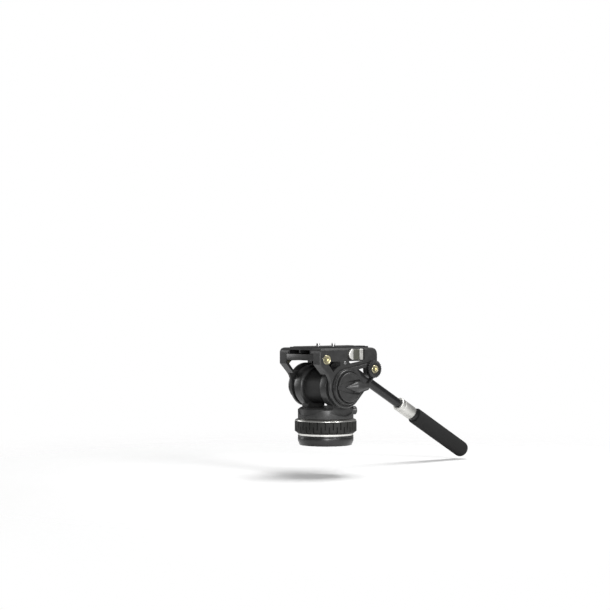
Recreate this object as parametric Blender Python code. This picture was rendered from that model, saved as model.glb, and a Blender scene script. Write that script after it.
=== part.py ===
"""Fluid video head, flat based, with a side handle, built as separate pieces in metres.

The frame: the origin is the centre of the base's flat underside, +Z is up, -Y is the front,
+Y is the operator's side and +X is the operator's left. The head pans about Z and tilts
about a line parallel to X.
"""
import math

import bmesh
import bpy
from mathutils import Matrix, Vector

# Fits that every piece shares
GAP = 0.0003
OVERRUN = 0.004
MERGE = 0.000001
WEB_LAP = 0.001

# Base and spindle
BASE_R = 0.0388
BASE_FOOT_R = 0.0364
BASE_CHAMFER = 0.0063
BASE_TOP = 0.0134
BUSH_R = 0.0080
BUSH_BORE_R = 0.00476
BUSH_LENGTH = 0.0102
SPINDLE_FOOT_R = 0.0150
SPINDLE_FOOT_Z = 0.0063
SPINDLE_FOOT_RISE = 0.0008
SPINDLE_R = 0.0110
SPINDLE_THREAD_R = 0.0080
BASE_SCREW_CIRCLE_R = 0.0117
BASE_SCREW_R = 0.0015
BASE_SCREW_HEAD_R = 0.0027
BASE_SCREW_HEAD_H = 0.0026
BASE_SCREW_LENGTH = 0.0112
BASE_SCREW_SINK = 0.0006
BASE_SCREW_COUNT = 3

# Pan drag ring
RING_BAND_R = 0.0384
RING_CORE_R = 0.0340
RING_GRIP_R = 0.0432
RING_GRIP_CHAMFER = 0.0034
RING_LIP_R = 0.0427
RING_HEIGHT = 0.0232
RING_LIP_H = 0.0036
RING_GRIP_H = 0.0171
RING_TOP = BASE_TOP + GAP + RING_HEIGHT
RING_GRIP_TOP = RING_TOP - RING_LIP_H
RING_GRIP_BOTTOM = RING_GRIP_TOP - RING_GRIP_H
RIB_COUNT = 48
LARGE_STEPS = 48
MIDDLE_STEPS = 36
SMALL_STEPS = 24
FINE_STEPS = 12
ARC_DEGREES = 11.0
HEX_SIDES = 6
BEND_STEPS = 6
LOBE_STEPS = 8
RIB_GROOVE_DEPTH = 0.0010
RIB_GROOVE_WIDTH = 0.0017
RIB_GROOVE_SHARE = 0.62
DRAG_PACK_WALL = 0.0004

# Pan body and its two ears
PAN_R = 0.0388
PAN_HEIGHT = 0.0152
PAN_BOTTOM = RING_TOP + GAP
PAN_TOP = PAN_BOTTOM + PAN_HEIGHT
PAN_CHAMFER_R = 0.0038
PAN_CHAMFER_H = 0.0028
BEARING_R = 0.0160
BEARING_H = 0.0079
BEARING_TOP = PAN_BOTTOM + BEARING_H
SHOULDER_BORE_R = 0.0125
SHOULDER_H = 0.0018
SHOULDER_TOP = BEARING_TOP + SHOULDER_H
NUT_R = 0.0148
NUT_H = 0.0038
TILT_RISE = 0.0292
TILT_Z = PAN_TOP + TILT_RISE
EAR_IN = 0.0190
EAR_OUT = 0.0334
EAR_R = 0.0293
EAR_CHAMFER = 0.0020
EAR_FOOT_HALF = 0.0150
SWING_R = 0.0406
TILT_BEARING_R = 0.0090
SHAFT_R = 0.0060

# Fluid drum between the ears
DRUM_R = 0.0244
DRUM_WALL = 0.0028
CARTRIDGE_SPLIT = 0.0010
SPRING_WIRE_R = 0.0013
SPRING_COIL_R = 0.0165
SPRING_TURNS = 3.0
SPRING_STEPS = 12

# Pan lock
PAN_LOCK_ANGLE = 70.0
PAN_LOCK_RISE = 0.0098
PAN_LOCK_Z = PAN_BOTTOM + PAN_LOCK_RISE
PAN_LOCK_R = 0.0060
PAN_LOCK_REACH = 0.0068
PAN_LOCK_TIP = PAN_R + PAN_LOCK_REACH
PAN_LOCK_SCREW_R = 0.0025
PAN_LOCK_SCREW_LENGTH = 0.0140
PAN_LOCK_CHAMFER = 0.0012

# Side cheeks of the tilting cradle
CHEEK_THICK = 0.0095
CHEEK_IN = EAR_OUT + 2 * GAP
CHEEK_OUT = CHEEK_IN + CHEEK_THICK
CHEEK_HUB_R = 0.0293
CHEEK_EDGE = 0.0010
RAIL_IN = 0.0209
RAIL_FRONT = -0.0480
RAIL_REAR = 0.0584
RAIL_RISE = 0.0359
RAIL_DEPTH = 0.0180
RAIL_BOTTOM = TILT_Z + RAIL_RISE
RAIL_TOP = RAIL_BOTTOM + RAIL_DEPTH
RAIL_CHAMFER = 0.0028
RAIL_REAR_CORNER = 0.0100
RAIL_FRONT_CORNER = 0.0070
POST_LAP = 0.0050
POST_DROP = 0.0038
POST_IN = CHEEK_IN - POST_LAP
POST_BOTTOM = RAIL_BOTTOM - POST_DROP
STRUT_KNEE_Y = -0.0360
STRUT_KNEE_RISE = 0.0198
STRUT_KNEE_Z = TILT_Z + STRUT_KNEE_RISE
STRUT_PULL_Y = -0.0300
STRUT_PULL_RISE = 0.0124
STRUT_PULL_Z = TILT_Z + STRUT_PULL_RISE
POST_WIDTH = 0.0155
POST_WALL = 0.0030
ARM_WALL = 0.0045
ARM_BOSS_R = 0.0080
HUB_BOSS_R = 0.0200
POST_TOE_RISE = 0.0199
POST_TOE_Z = TILT_Z + POST_TOE_RISE
ROSETTE_Y = 0.0478
ROSETTE_RISE = 0.0240
ROSETTE_Z = TILT_Z + ROSETTE_RISE
ROSETTE_R = 0.0124
ROSETTE_BOSS = 0.0070
ROSETTE_OUT = CHEEK_OUT + ROSETTE_BOSS
ROSETTE_TEETH = 18
ROSETTE_TOOTH = 0.0007
ROSETTE_PLUG_R = 0.00575
ROSETTE_SHANK_R = 0.0041
ROSETTE_SHANK_LENGTH = 0.0060
TEAR_LIFT = 0.0020
TEAR_OUT = CHEEK_OUT + TEAR_LIFT
TEAR_R = 0.0250
TEAR_END_R = 0.0095

# Openings in each cheek, measured on its side view
WEB_HALF = 0.0080
WINDOW_ARC_R = 0.0320
WINDOW_TOP_GAP = 0.0002
FRONT_WINDOW_TOP_Y = -0.0275
FRONT_WINDOW_LEFT_Y = -0.0325
FRONT_WINDOW_DROP = 0.0046
FRONT_WINDOW_LEFT_Z = RAIL_BOTTOM - FRONT_WINDOW_DROP
FRONT_WINDOW_LOW_Y = -0.0243
FRONT_WINDOW_RISE = 0.0218
FRONT_WINDOW_LOW_Z = TILT_Z + FRONT_WINDOW_RISE
SLIT_FRONT = 0.0050
SLIT_REAR = 0.0300
SLIT_HEIGHT = 0.0043
SLIT_LOW_Z = RAIL_BOTTOM - SLIT_HEIGHT
RIB_START_Y = 0.0186
RIB_START_RISE = 0.0229
RIB_START_Z = TILT_Z + RIB_START_RISE
RIB_SLOPE = 0.17
BOSS_R = 0.0137
STRUT_WIDTH = 0.0043

# Brass accessory bush and the cheek's own screw
ACCESSORY_Y = -0.0355
ACCESSORY_RISE = 0.0026
ACCESSORY_Z = RAIL_BOTTOM + ACCESSORY_RISE
ACCESSORY_R = 0.0066
ACCESSORY_DEPTH = 0.0035
ACCESSORY_PROUD = 0.0005
HEX_R = 0.0024
HEX_DEPTH = 0.0012
LEFT_SCREW_Y = -0.0030
RIGHT_SCREW_Y = 0.0120
CHEEK_SCREW_DROP = 0.0027
CHEEK_SCREW_Z = RAIL_BOTTOM - CHEEK_SCREW_DROP
CHEEK_SCREW_R = 0.0015
CHEEK_SCREW_HEAD_R = 0.0023
CHEEK_SCREW_HEAD_H = 0.0013
CHEEK_SCREW_LENGTH = 0.0120

# Platform between the cheeks
DOVETAIL_DEPTH = 0.0083
PLATFORM_THICK = 0.0086
PLATFORM_TOP = RAIL_TOP - DOVETAIL_DEPTH
PLATFORM_BOTTOM = PLATFORM_TOP - PLATFORM_THICK
PLATFORM_REAR = 0.0570
POCKET_ROOF = 0.0036
POCKET_WALL = 0.0070
LUG_DROP = 0.0067
LUG_BOTTOM = PLATFORM_BOTTOM - LUG_DROP
LUG_HALF = 0.0060

# Covers, tilt lock lever and tilt drag dial
COVER_BASE_R = 0.0247
COVER_TOP_R = 0.0232
COVER_THICK = 0.0032
COVER_OUT = TEAR_OUT + GAP + COVER_THICK
DIAL_R = 0.0212
DIAL_THICK = 0.0027
DIAL_RIM = 0.0013
DIAL_DISH = 0.0014
DIAL_SPIGOT_R = 0.0090
LEVER_HEIGHT = 0.0068
LEVER_TAIL = 0.0360
LEVER_NOSE = 0.0190
LEVER_NOSE_HALF = 0.0024
LEVER_WAIST_HALF = 0.0044
LEVER_BELLY_HALF = 0.0080
LEVER_TIP_HALF = 0.0042
LEVER_EDGE = 0.0022
DRAG_DIAL_THICK = 0.0090
DRAG_DIAL_OUT = COVER_OUT + DRAG_DIAL_THICK
DRAG_DIAL_R = 0.0205
DRAG_DIAL_SCALLOPS = 12
SCALLOP_R = 0.0022

# Quick release plate
PLATE_FRONT = -0.0475
PLATE_REAR = 0.0615
PLATE_LIFT = 0.0015
PLATE_TOP = RAIL_TOP + PLATE_LIFT
DOVETAIL_FOOT_HALF = 0.0256
PLATE_PLAY = 0.0004
PLATE_FOOT_HALF = DOVETAIL_FOOT_HALF - PLATE_PLAY
PLATE_SKIN = 0.0055
PLATE_LEG = 0.0037
PLATE_RIB_HALF = 0.0014
PLATE_RIB_LIFT = 0.0011
SLOT_HALF = 0.0035
SLOT_FRONT = -0.0240
SLOT_REAR = 0.0280
PAD_IN = 0.0055
PAD_OUT = 0.0182
PAD_MARGIN = 0.0035
PAD_SINK = 0.0009
PAD_THICK = 0.0015
CAMERA_SCREW_R = 0.0031
CAMERA_SCREW_HEAD_R = 0.0080
CAMERA_SCREW_HEAD_H = 0.0030
CAMERA_SCREW_REACH = 0.0045
CAMERA_SCREW_SPACING = 0.0280

# Plate lock in the left rail
LOCK_PIVOT_X = 0.0403
LOCK_PIVOT_Y = 0.0296
LOCK_BARREL_R = 0.0033
LOCK_TIP_Y = 0.0052
LOCK_HALF = 0.0073
LOCK_DROP = 0.0091
LOCK_MID_Z = RAIL_TOP - LOCK_DROP
LOCK_ARM_IN = 0.0382
LOCK_ARM_OUT = 0.0436
RECESS_BACK = 0.0366
RECESS_TIP_Y = 0.0006
RECESS_REAR = 0.0338
RECESS_CLEAR = 0.0005
LOCK_PAD_FRONT = 0.0130
LOCK_PAD_REAR = 0.0240
LOCK_PAD_PROUD = 0.0007
LOCK_PAD_SINK = 0.0007
LOCK_PIN_R = 0.0013
LOCK_PIN_HEAD_R = 0.0019
LOCK_PIN_HEAD_H = 0.0012
JAW_FRONT = 0.0060
JAW_REAR = 0.0420
JAW_COVER = 0.0023
JAW_TOP = RAIL_TOP - JAW_COVER
JAW_BACK = 0.0285
JAW_TRAVEL = 0.0008
JAW_STEM_R = 0.0020
JAW_STEM_END = 0.0356
JAW_STEM_DROP = 0.0027
JAW_STEM_Z = JAW_TOP - JAW_STEM_DROP

# Handle on the right side
HANDLE_DROP = 29.4
HANDLE_OFFSET = 0.0214
KNUCKLE_HALF = 0.0072
HANDLE_X = -(ROSETTE_OUT + GAP + KNUCKLE_HALF)
SOCKET_R = 0.0092
SOCKET_FRONT = 0.0040
SOCKET_REAR = 0.0320
ROD_R = 0.0067
ROD_LENGTH = 0.2450
COLLAR_START = 0.1570
COLLAR_LENGTH = 0.0312
COLLAR_END = COLLAR_START + COLLAR_LENGTH
COLLAR_R = 0.0102
COLLAR_LIP = 0.0130
SLEEVE_NOSE_R = 0.0084
SLEEVE_R = 0.0096
GRIP_SETBACK = 0.0080
SLEEVE_LENGTH = 0.1228
GRIP_CAP = 0.0080
GRIP_START = COLLAR_END + GRIP_SETBACK
SLEEVE_END = COLLAR_END + SLEEVE_LENGTH
GRIP_END = SLEEVE_END + GRIP_CAP
GRIP_R = 0.0122
GRIP_ROUND = 0.0090
GRIP_LIP = 0.0012
CLAMP_BOLT_R = 0.0038
CLAMP_BOLT_END = 0.0450
CLAMP_KNOB_R = 0.0130
CLAMP_KNOB_LENGTH = 0.0170
CLAMP_KNOB_STEM_R = 0.0075
CLAMP_KNOB_STEM = 0.0040
CLAMP_KNOB_LOBES = 6

FRONT_LOW = Vector((0.0, 0.0, 0.0))
TILT_AXIS = Vector((0.0, 0.0, TILT_Z))
ROSETTE_AXIS = Vector((0.0, ROSETTE_Y, ROSETTE_Z))
UPRIGHT = Matrix.Identity(4)
PAN_LOCK_FRAME = (
    Matrix.Translation((0.0, 0.0, PAN_LOCK_Z))
    @ Matrix.Rotation(math.radians(PAN_LOCK_ANGLE), 4, "Z")
    @ Matrix.Rotation(math.radians(90.0), 4, "Y")
)
HANDLE_TURN = math.radians(HANDLE_DROP)
HANDLE_FOOT = Vector((
    HANDLE_X,
    ROSETTE_Y + HANDLE_OFFSET * math.sin(HANDLE_TURN),
    ROSETTE_Z + HANDLE_OFFSET * math.cos(HANDLE_TURN),
))
HANDLE_FRAME = Matrix.Translation(HANDLE_FOOT) @ Matrix.Rotation(-math.pi / 2 - HANDLE_TURN, 4, "X")


# Materials
def finish(name, colour, roughness, metallic):
    """One plain Principled finish."""
    made = bpy.data.materials.new(name)
    made.use_nodes = True
    shader = made.node_tree.nodes["Principled BSDF"]
    shader.inputs["Base Color"].default_value = (*colour, 1.0)
    shader.inputs["Roughness"].default_value = roughness
    shader.inputs["Metallic"].default_value = metallic
    made.diffuse_color = (*colour, 1.0)
    return made


for old in list(bpy.data.objects):
    bpy.data.objects.remove(old, do_unlink=True)

BLACK_PAINT = ("black_paint", (0.045, 0.045, 0.047), 0.42, 0.2)
DARK_METAL = ("dark_metal", (0.020, 0.020, 0.022), 0.35, 0.5)
SATIN_SILVER = ("satin_silver", (0.62, 0.60, 0.56), 0.30, 1.0)
BRASS = ("brass", (0.72, 0.66, 0.44), 0.32, 1.0)
STEEL = ("steel", (0.50, 0.50, 0.50), 0.35, 1.0)
RUBBER = ("rubber", (0.018, 0.018, 0.018), 0.85, 0.0)
FOAM = ("grip_foam", (0.022, 0.022, 0.022), 0.95, 0.0)


# Shape helpers
def wear(obj, look):
    """Give a piece its own copy of a finish and crisp or smooth shading."""
    obj.data.materials.append(finish(f"{obj.name}_{look[0]}", *look[1:]))


def place(name, mesh, look, pivot):
    """Link a mesh as a named piece whose origin lies on its pivot."""
    mesh.transform(Matrix.Translation(-pivot))
    mesh.shade_smooth()
    mesh.set_sharp_from_angle(angle=math.radians(32.0))
    obj = bpy.data.objects.new(name, mesh)
    obj.location = pivot
    bpy.context.scene.collection.objects.link(obj)
    if look is not None:
        wear(obj, look)
    return obj


def close_up(bm, name):
    """Merge doubled points, turn every face outwards and return the mesh."""
    bmesh.ops.remove_doubles(bm, verts=bm.verts, dist=MERGE)
    bmesh.ops.recalc_face_normals(bm, faces=bm.faces)
    mesh = bpy.data.meshes.new(name)
    bm.to_mesh(mesh)
    bm.free()
    return mesh


def turned(name, profile, look, frame=UPRIGHT, steps=LARGE_STEPS, pivot=FRONT_LOW):
    """A lathe shape: pairs of radius and distance along the frame's own Z.

    A profile that begins and ends on the axis is solid; any other is closed into a ring.
    """
    bm = bmesh.new()
    points = [bm.verts.new((radius, 0.0, along)) for radius, along in profile]
    edges = [bm.edges.new(pair) for pair in zip(points, points[1:])]
    if profile[0][0] > 0.0:
        edges.append(bm.edges.new((points[-1], points[0])))
    bmesh.ops.spin(
        bm, geom=points + edges, cent=(0.0, 0.0, 0.0), axis=(0.0, 0.0, 1.0),
        angle=math.tau, steps=steps, use_merge=True,
    )
    mesh = close_up(bm, name)
    mesh.transform(frame)
    return place(name, mesh, look, pivot)


def prism(name, outline, low, high, look, across="X", edge=0.0, pivot=FRONT_LOW, both=False):
    """An outline drawn on the plane across an axis and carried from low to high along it.

    With an edge, the rim at the high end, or at both ends, is chamfered by that much.
    """
    build = {
        "X": lambda u, v, w: (w, u, v),
        "Y": lambda u, v, w: (u, w, v),
        "Z": lambda u, v, w: (u, v, w),
    }[across]
    axis = "XYZ".index(across)
    bm = bmesh.new()
    floor = bm.faces.new([bm.verts.new(build(u, v, low)) for u, v in outline])
    lifted = bmesh.ops.extrude_face_region(bm, geom=[floor])
    moved = [item for item in lifted["geom"] if isinstance(item, bmesh.types.BMVert)]
    step = [0.0, 0.0, 0.0]
    step[axis] = high - low
    bmesh.ops.translate(bm, verts=moved, vec=step)
    if edge > 0.0:
        ends = (low, high) if both else (high,)
        rim = [
            e for e in bm.edges
            if any(all(abs(v.co[axis] - end) < MERGE for v in e.verts) for end in ends)
        ]
        bmesh.ops.bevel(
            bm, geom=rim, offset=edge, segments=1, profile=0.5, affect="EDGES", material=-1,
        )
    return place(name, close_up(bm, name), look, pivot)


def combine(target, operation, tool):
    """Cut, join or clip a piece with a guide solid, which itself stays unseen."""
    tool.hide_render = True
    tool.display_type = "WIRE"
    modifier = target.modifiers.new(tool.name, "BOOLEAN")
    modifier.operation = operation
    modifier.object = tool
    return target


def cut(target, *tools):
    """Take each guide solid out of a piece."""
    for tool in tools:
        combine(target, "DIFFERENCE", tool)
    return target


def arc(centre, radius, start, end):
    """Points on an arc, angles in degrees from the first axis towards the second."""
    steps = max(2, math.ceil(abs(end - start) / ARC_DEGREES))
    turns = [math.radians(start + (end - start) * i / steps) for i in range(steps + 1)]
    return [(centre[0] + radius * math.cos(t), centre[1] + radius * math.sin(t)) for t in turns]


def blend(first, pull, last):
    """Points on a smooth bend from first to last that leans towards pull."""
    points = []
    for i in range(BEND_STEPS + 1):
        t = i / BEND_STEPS
        shares = ((1 - t) ** 2, 2 * t * (1 - t), t ** 2)
        points.append(tuple(
            shares[0] * a + shares[1] * b + shares[2] * c for a, b, c in zip(first, pull, last)
        ))
    return points


def rod_guide(name, radius, low, high, frame, steps=SMALL_STEPS):
    """A plain round guide along a frame's own Z."""
    return turned(name, [(0.0, low), (radius, low), (radius, high), (0.0, high)], None, frame, steps)


def sideways(side, y=0.0, z=0.0):
    """A frame at a place on the side view, whose own Z points out of that side."""
    return Matrix.Translation((0.0, y, z)) @ Matrix.Rotation(side * math.pi / 2, 4, "Y")


def at_height(x, y):
    """An upright frame over a place on the plan."""
    return Matrix.Translation((x, y, 0.0))


def side_prism(name, outline, side, low, high, look, **options):
    """A side view outline carried out from low to high on the chosen side."""
    return prism(name, outline, side * low, side * high, look, "X", **options)


def polar(radius, degrees):
    """A place on the plan."""
    return (radius * math.cos(math.radians(degrees)), radius * math.sin(math.radians(degrees)))


def scalloped(radius, bite, count, steps):
    """A round outline with shallow bites all round."""
    points = []
    for i in range(count * steps):
        turn = 360.0 * i / (count * steps)
        wave = 0.5 - 0.5 * math.cos(math.radians(turn * count))
        points.append(polar(radius - bite * wave, turn))
    return points


def word(side):
    """The name of a side, as the operator sees it."""
    return "left" if side > 0 else "right"


def screw_y(side):
    """How far back a cheek's own screw and the web round it stand."""
    return LEFT_SCREW_Y if side > 0 else RIGHT_SCREW_Y


# Base: what stays still when the head pans
def build_base():
    foot_wall = SPINDLE_FOOT_R + GAP
    bush_wall = BUSH_R + GAP
    floor = SPINDLE_FOOT_Z - GAP
    base = turned("base_flange", [
        (bush_wall, 0.0), (BASE_FOOT_R, 0.0), (BASE_R, BASE_CHAMFER), (BASE_R, BASE_TOP),
        (foot_wall, BASE_TOP), (foot_wall, floor), (bush_wall, floor),
    ], BLACK_PAINT, steps=LARGE_STEPS)
    turned("base_thread_bush", [
        (BUSH_BORE_R, GAP), (BUSH_R, GAP), (BUSH_R, GAP + BUSH_LENGTH),
        (BUSH_BORE_R, GAP + BUSH_LENGTH),
    ], STEEL, steps=SMALL_STEPS)
    recess = 2 * GAP + BUSH_LENGTH
    foot_top = BASE_TOP + SPINDLE_FOOT_RISE
    thread_start = SHOULDER_TOP - GAP
    thread_end = SHOULDER_TOP + 2 * GAP + NUT_H
    spindle = turned("pan_spindle", [
        (0.0, recess), (bush_wall, recess), (bush_wall, SPINDLE_FOOT_Z),
        (SPINDLE_FOOT_R, SPINDLE_FOOT_Z), (SPINDLE_FOOT_R, foot_top), (SPINDLE_R, foot_top),
        (SPINDLE_R, thread_start), (SPINDLE_THREAD_R, thread_start),
        (SPINDLE_THREAD_R, thread_end), (0.0, thread_end),
    ], STEEL, steps=SMALL_STEPS)
    turned("spindle_nut", [
        (SPINDLE_THREAD_R + GAP, SHOULDER_TOP + GAP), (NUT_R, SHOULDER_TOP + GAP),
        (NUT_R, SHOULDER_TOP + GAP + NUT_H), (SPINDLE_THREAD_R + GAP, SHOULDER_TOP + GAP + NUT_H),
    ], STEEL, steps=SMALL_STEPS)
    turned("pan_drag_pack", [
        (foot_wall + GAP, BASE_TOP + GAP), (RING_CORE_R - DRAG_PACK_WALL, BASE_TOP + GAP),
        (RING_CORE_R - DRAG_PACK_WALL, PAN_BOTTOM - GAP), (foot_wall + GAP, PAN_BOTTOM - GAP),
    ], DARK_METAL, steps=SMALL_STEPS)
    head_top = BASE_SCREW_SINK + BASE_SCREW_HEAD_H
    for i in range(BASE_SCREW_COUNT):
        x, y = polar(BASE_SCREW_CIRCLE_R, 90.0 + 360.0 * i / BASE_SCREW_COUNT)
        over = at_height(x, y)
        turned(f"base_screw_{i + 1}", [
            (0.0, BASE_SCREW_SINK), (BASE_SCREW_HEAD_R, BASE_SCREW_SINK),
            (BASE_SCREW_HEAD_R, head_top), (BASE_SCREW_R, head_top),
            (BASE_SCREW_R, BASE_SCREW_LENGTH), (0.0, BASE_SCREW_LENGTH),
        ], STEEL, over, FINE_STEPS)
        head_room = rod_guide(f"guide_head_{i}", BASE_SCREW_HEAD_R + GAP, -OVERRUN,
                              head_top + GAP, over, FINE_STEPS)
        hole = rod_guide(f"guide_hole_{i}", BASE_SCREW_R + GAP, 0.0, BASE_SCREW_LENGTH + GAP, over, FINE_STEPS)
        cut(base, head_room, hole)
        cut(spindle, hole)


# Pan drag ring: a silver ring with a ribbed rubber sleeve
def build_drag_ring():
    turned("drag_ring_core", [
        (RING_CORE_R, BASE_TOP + GAP), (RING_BAND_R, BASE_TOP + GAP),
        (RING_BAND_R, RING_GRIP_TOP + GAP), (RING_LIP_R, RING_GRIP_TOP + GAP),
        (RING_BAND_R, RING_TOP), (RING_CORE_R, RING_TOP),
    ], SATIN_SILVER, steps=LARGE_STEPS)
    sleeve = turned("drag_ring_grip", [
        (RING_BAND_R + GAP, RING_GRIP_BOTTOM), (RING_GRIP_R, RING_GRIP_BOTTOM + RING_GRIP_CHAMFER),
        (RING_GRIP_R, RING_GRIP_TOP), (RING_BAND_R + GAP, RING_GRIP_TOP),
    ], RUBBER, steps=RIB_COUNT)
    height = RING_GRIP_TOP - RING_GRIP_BOTTOM
    half = RIB_GROOVE_WIDTH / 2
    bm = bmesh.new()
    for i in range(RIB_COUNT):
        low = RING_GRIP_BOTTOM + (1 - RIB_GROOVE_SHARE) * height if i % 2 else RING_GRIP_BOTTOM - OVERRUN
        high = RING_GRIP_TOP + OVERRUN if i % 2 else RING_GRIP_BOTTOM + RIB_GROOVE_SHARE * height
        turn = Matrix.Rotation(math.tau * (i + 0.5) / RIB_COUNT, 4, "Z")
        inner = RING_GRIP_R - RIB_GROOVE_DEPTH
        outer = RING_GRIP_R + OVERRUN
        block = bmesh.ops.create_cube(bm, size=1.0)["verts"]
        fit = Matrix.Diagonal((outer - inner, 2 * half, high - low, 1.0))
        centre = Matrix.Translation(((outer + inner) / 2, 0.0, (high + low) / 2))
        bmesh.ops.transform(bm, matrix=turn @ centre @ fit, verts=block)
    grooves = place("guide_grooves", close_up(bm, "guide_grooves"), None, FRONT_LOW)
    cut(sleeve, grooves)


# Pan body: a turned disc with two round ears that hold the tilt axis
def ear_outline():
    rise = math.degrees(math.acos(EAR_FOOT_HALF / EAR_R))
    crown = arc((0.0, TILT_Z), EAR_R, -rise, 180.0 + rise)
    foot = PAN_TOP - OVERRUN
    return [(EAR_FOOT_HALF, foot)] + crown + [(-EAR_FOOT_HALF, foot)]


def build_pan_body():
    bore = BEARING_R + GAP
    shoulder = BEARING_TOP + GAP
    well = NUT_R + GAP
    body = turned("pan_body", [
        (bore, PAN_BOTTOM), (PAN_R, PAN_BOTTOM), (PAN_R, PAN_TOP - PAN_CHAMFER_H),
        (PAN_R - PAN_CHAMFER_R, PAN_TOP), (well, PAN_TOP), (well, SHOULDER_TOP),
        (SHOULDER_BORE_R, SHOULDER_TOP), (SHOULDER_BORE_R, shoulder), (bore, shoulder),
    ], BLACK_PAINT, steps=LARGE_STEPS)
    for side in (1, -1):
        swing = rod_guide(f"guide_swing_{word(side)}", SWING_R, EAR_OUT, BASE_R + OVERRUN,
                          sideways(side, 0.0, TILT_Z), LARGE_STEPS)
        cut(body, swing)
    for side in (1, -1):
        ear = prism(f"guide_ear_{word(side)}", ear_outline(), side * EAR_OUT, side * EAR_IN,
                    None, "X", edge=EAR_CHAMFER)
        combine(body, "UNION", ear)
    cross = rod_guide("guide_tilt_bore", TILT_BEARING_R + GAP, -EAR_OUT - OVERRUN, EAR_OUT + OVERRUN,
                      sideways(1, 0.0, TILT_Z))
    lock_hole = rod_guide("guide_lock_hole", PAN_LOCK_SCREW_R + GAP,
                          PAN_R - PAN_LOCK_SCREW_LENGTH - GAP, PAN_R + OVERRUN, PAN_LOCK_FRAME, FINE_STEPS)
    cut(body, cross, lock_hole)
    turned("pan_bearing", [
        (SPINDLE_R + GAP, PAN_BOTTOM + GAP), (BEARING_R, PAN_BOTTOM + GAP),
        (BEARING_R, BEARING_TOP), (SPINDLE_R + GAP, BEARING_TOP),
    ], STEEL, steps=SMALL_STEPS)


def build_pan_lock():
    turned("pan_lock_screw", [
        (0.0, PAN_R - PAN_LOCK_SCREW_LENGTH), (PAN_LOCK_SCREW_R, PAN_R - PAN_LOCK_SCREW_LENGTH),
        (PAN_LOCK_SCREW_R, PAN_R), (0.0, PAN_R),
    ], STEEL, PAN_LOCK_FRAME, FINE_STEPS, pivot=Vector((0.0, 0.0, PAN_LOCK_Z)))
    start = PAN_R + GAP
    turned("pan_lock_knob", [
        (0.0, start), (PAN_LOCK_R, start), (PAN_LOCK_R, PAN_LOCK_TIP - PAN_LOCK_CHAMFER),
        (PAN_LOCK_R - PAN_LOCK_CHAMFER, PAN_LOCK_TIP), (0.0, PAN_LOCK_TIP),
    ], BLACK_PAINT, PAN_LOCK_FRAME, SMALL_STEPS, pivot=Vector((0.0, 0.0, PAN_LOCK_Z)))


# Fluid drum with its cartridge, spring and bearings
def build_drum():
    along = sideways(1, 0.0, TILT_Z)
    end = EAR_IN - GAP
    inner = DRUM_R - DRUM_WALL
    turned("drum_housing", [(inner, -end), (DRUM_R, -end), (DRUM_R, end), (inner, end)],
           DARK_METAL, along, MIDDLE_STEPS, TILT_AXIS)
    turned("tilt_fluid_cartridge", [
        (SHAFT_R + GAP, CARTRIDGE_SPLIT), (inner - GAP, CARTRIDGE_SPLIT), (inner - GAP, end),
        (SHAFT_R + GAP, end),
    ], DARK_METAL, along, SMALL_STEPS, TILT_AXIS)
    for side in (1, -1):
        turned(f"{word(side)}_tilt_bearing", [
            (SHAFT_R + GAP, EAR_IN), (TILT_BEARING_R, EAR_IN), (TILT_BEARING_R, EAR_OUT),
            (SHAFT_R + GAP, EAR_OUT),
        ], STEEL, sideways(side, 0.0, TILT_Z), SMALL_STEPS, TILT_AXIS)
    build_spring(end)


def build_spring(end):
    """The counterbalance spring: one coil in the half of the drum beside the cartridge."""
    curve = bpy.data.curves.new("counterbalance_spring", "CURVE")
    curve.dimensions = "3D"
    curve.bevel_depth = SPRING_WIRE_R
    curve.bevel_resolution = 0
    curve.use_fill_caps = True
    count = int(SPRING_TURNS * SPRING_STEPS) + 1
    spline = curve.splines.new("POLY")
    spline.points.add(count - 1)
    start = -end + SPRING_WIRE_R + GAP
    stop = CARTRIDGE_SPLIT - SPRING_WIRE_R - GAP
    for i in range(count):
        turn = math.tau * i / SPRING_STEPS
        x = start + (stop - start) * i / (count - 1)
        y = SPRING_COIL_R * math.cos(turn)
        z = SPRING_COIL_R * math.sin(turn)
        spline.points[i].co = (x, y, z, 1.0)
    obj = bpy.data.objects.new("counterbalance_spring", curve)
    obj.location = TILT_AXIS
    bpy.context.scene.collection.objects.link(obj)
    wear(obj, STEEL)


# Cheeks of the cradle
def tangent(centre_a, radius_a, centre_b, radius_b, upper):
    """The direction, in degrees, of the radius where an outer tangent touches both circles."""
    run = (centre_b[0] - centre_a[0], centre_b[1] - centre_a[1])
    lean = math.degrees(math.acos((radius_a - radius_b) / math.hypot(*run)))
    base = math.degrees(math.atan2(run[1], run[0]))
    return base + lean if upper else base - lean


def cheek_outline():
    """The side view of a cheek with its rail, walked from the hub's front downwards."""
    hub = (0.0, TILT_Z)
    rosette = (ROSETTE_Y, ROSETTE_Z)
    touch = tangent(hub, CHEEK_HUB_R, rosette, ROSETTE_R, False)
    lean = math.degrees(math.acos((RAIL_REAR - ROSETTE_Y) / ROSETTE_R))
    points = arc(hub, CHEEK_HUB_R, -180.0, touch)
    points += arc(rosette, ROSETTE_R, touch, lean)
    corner = (RAIL_REAR - RAIL_REAR_CORNER, RAIL_TOP - RAIL_REAR_CORNER)
    points += arc(corner, RAIL_REAR_CORNER, 0.0, 90.0)
    corner = (RAIL_FRONT + RAIL_FRONT_CORNER, RAIL_TOP - RAIL_FRONT_CORNER)
    points += arc(corner, RAIL_FRONT_CORNER, 90.0, 180.0)
    points.append((RAIL_FRONT, POST_BOTTOM))
    knee = (STRUT_KNEE_Y, STRUT_KNEE_Z)
    points += blend(knee, (STRUT_PULL_Y, STRUT_PULL_Z), (-CHEEK_HUB_R, TILT_Z))[:-1]
    return points


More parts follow.
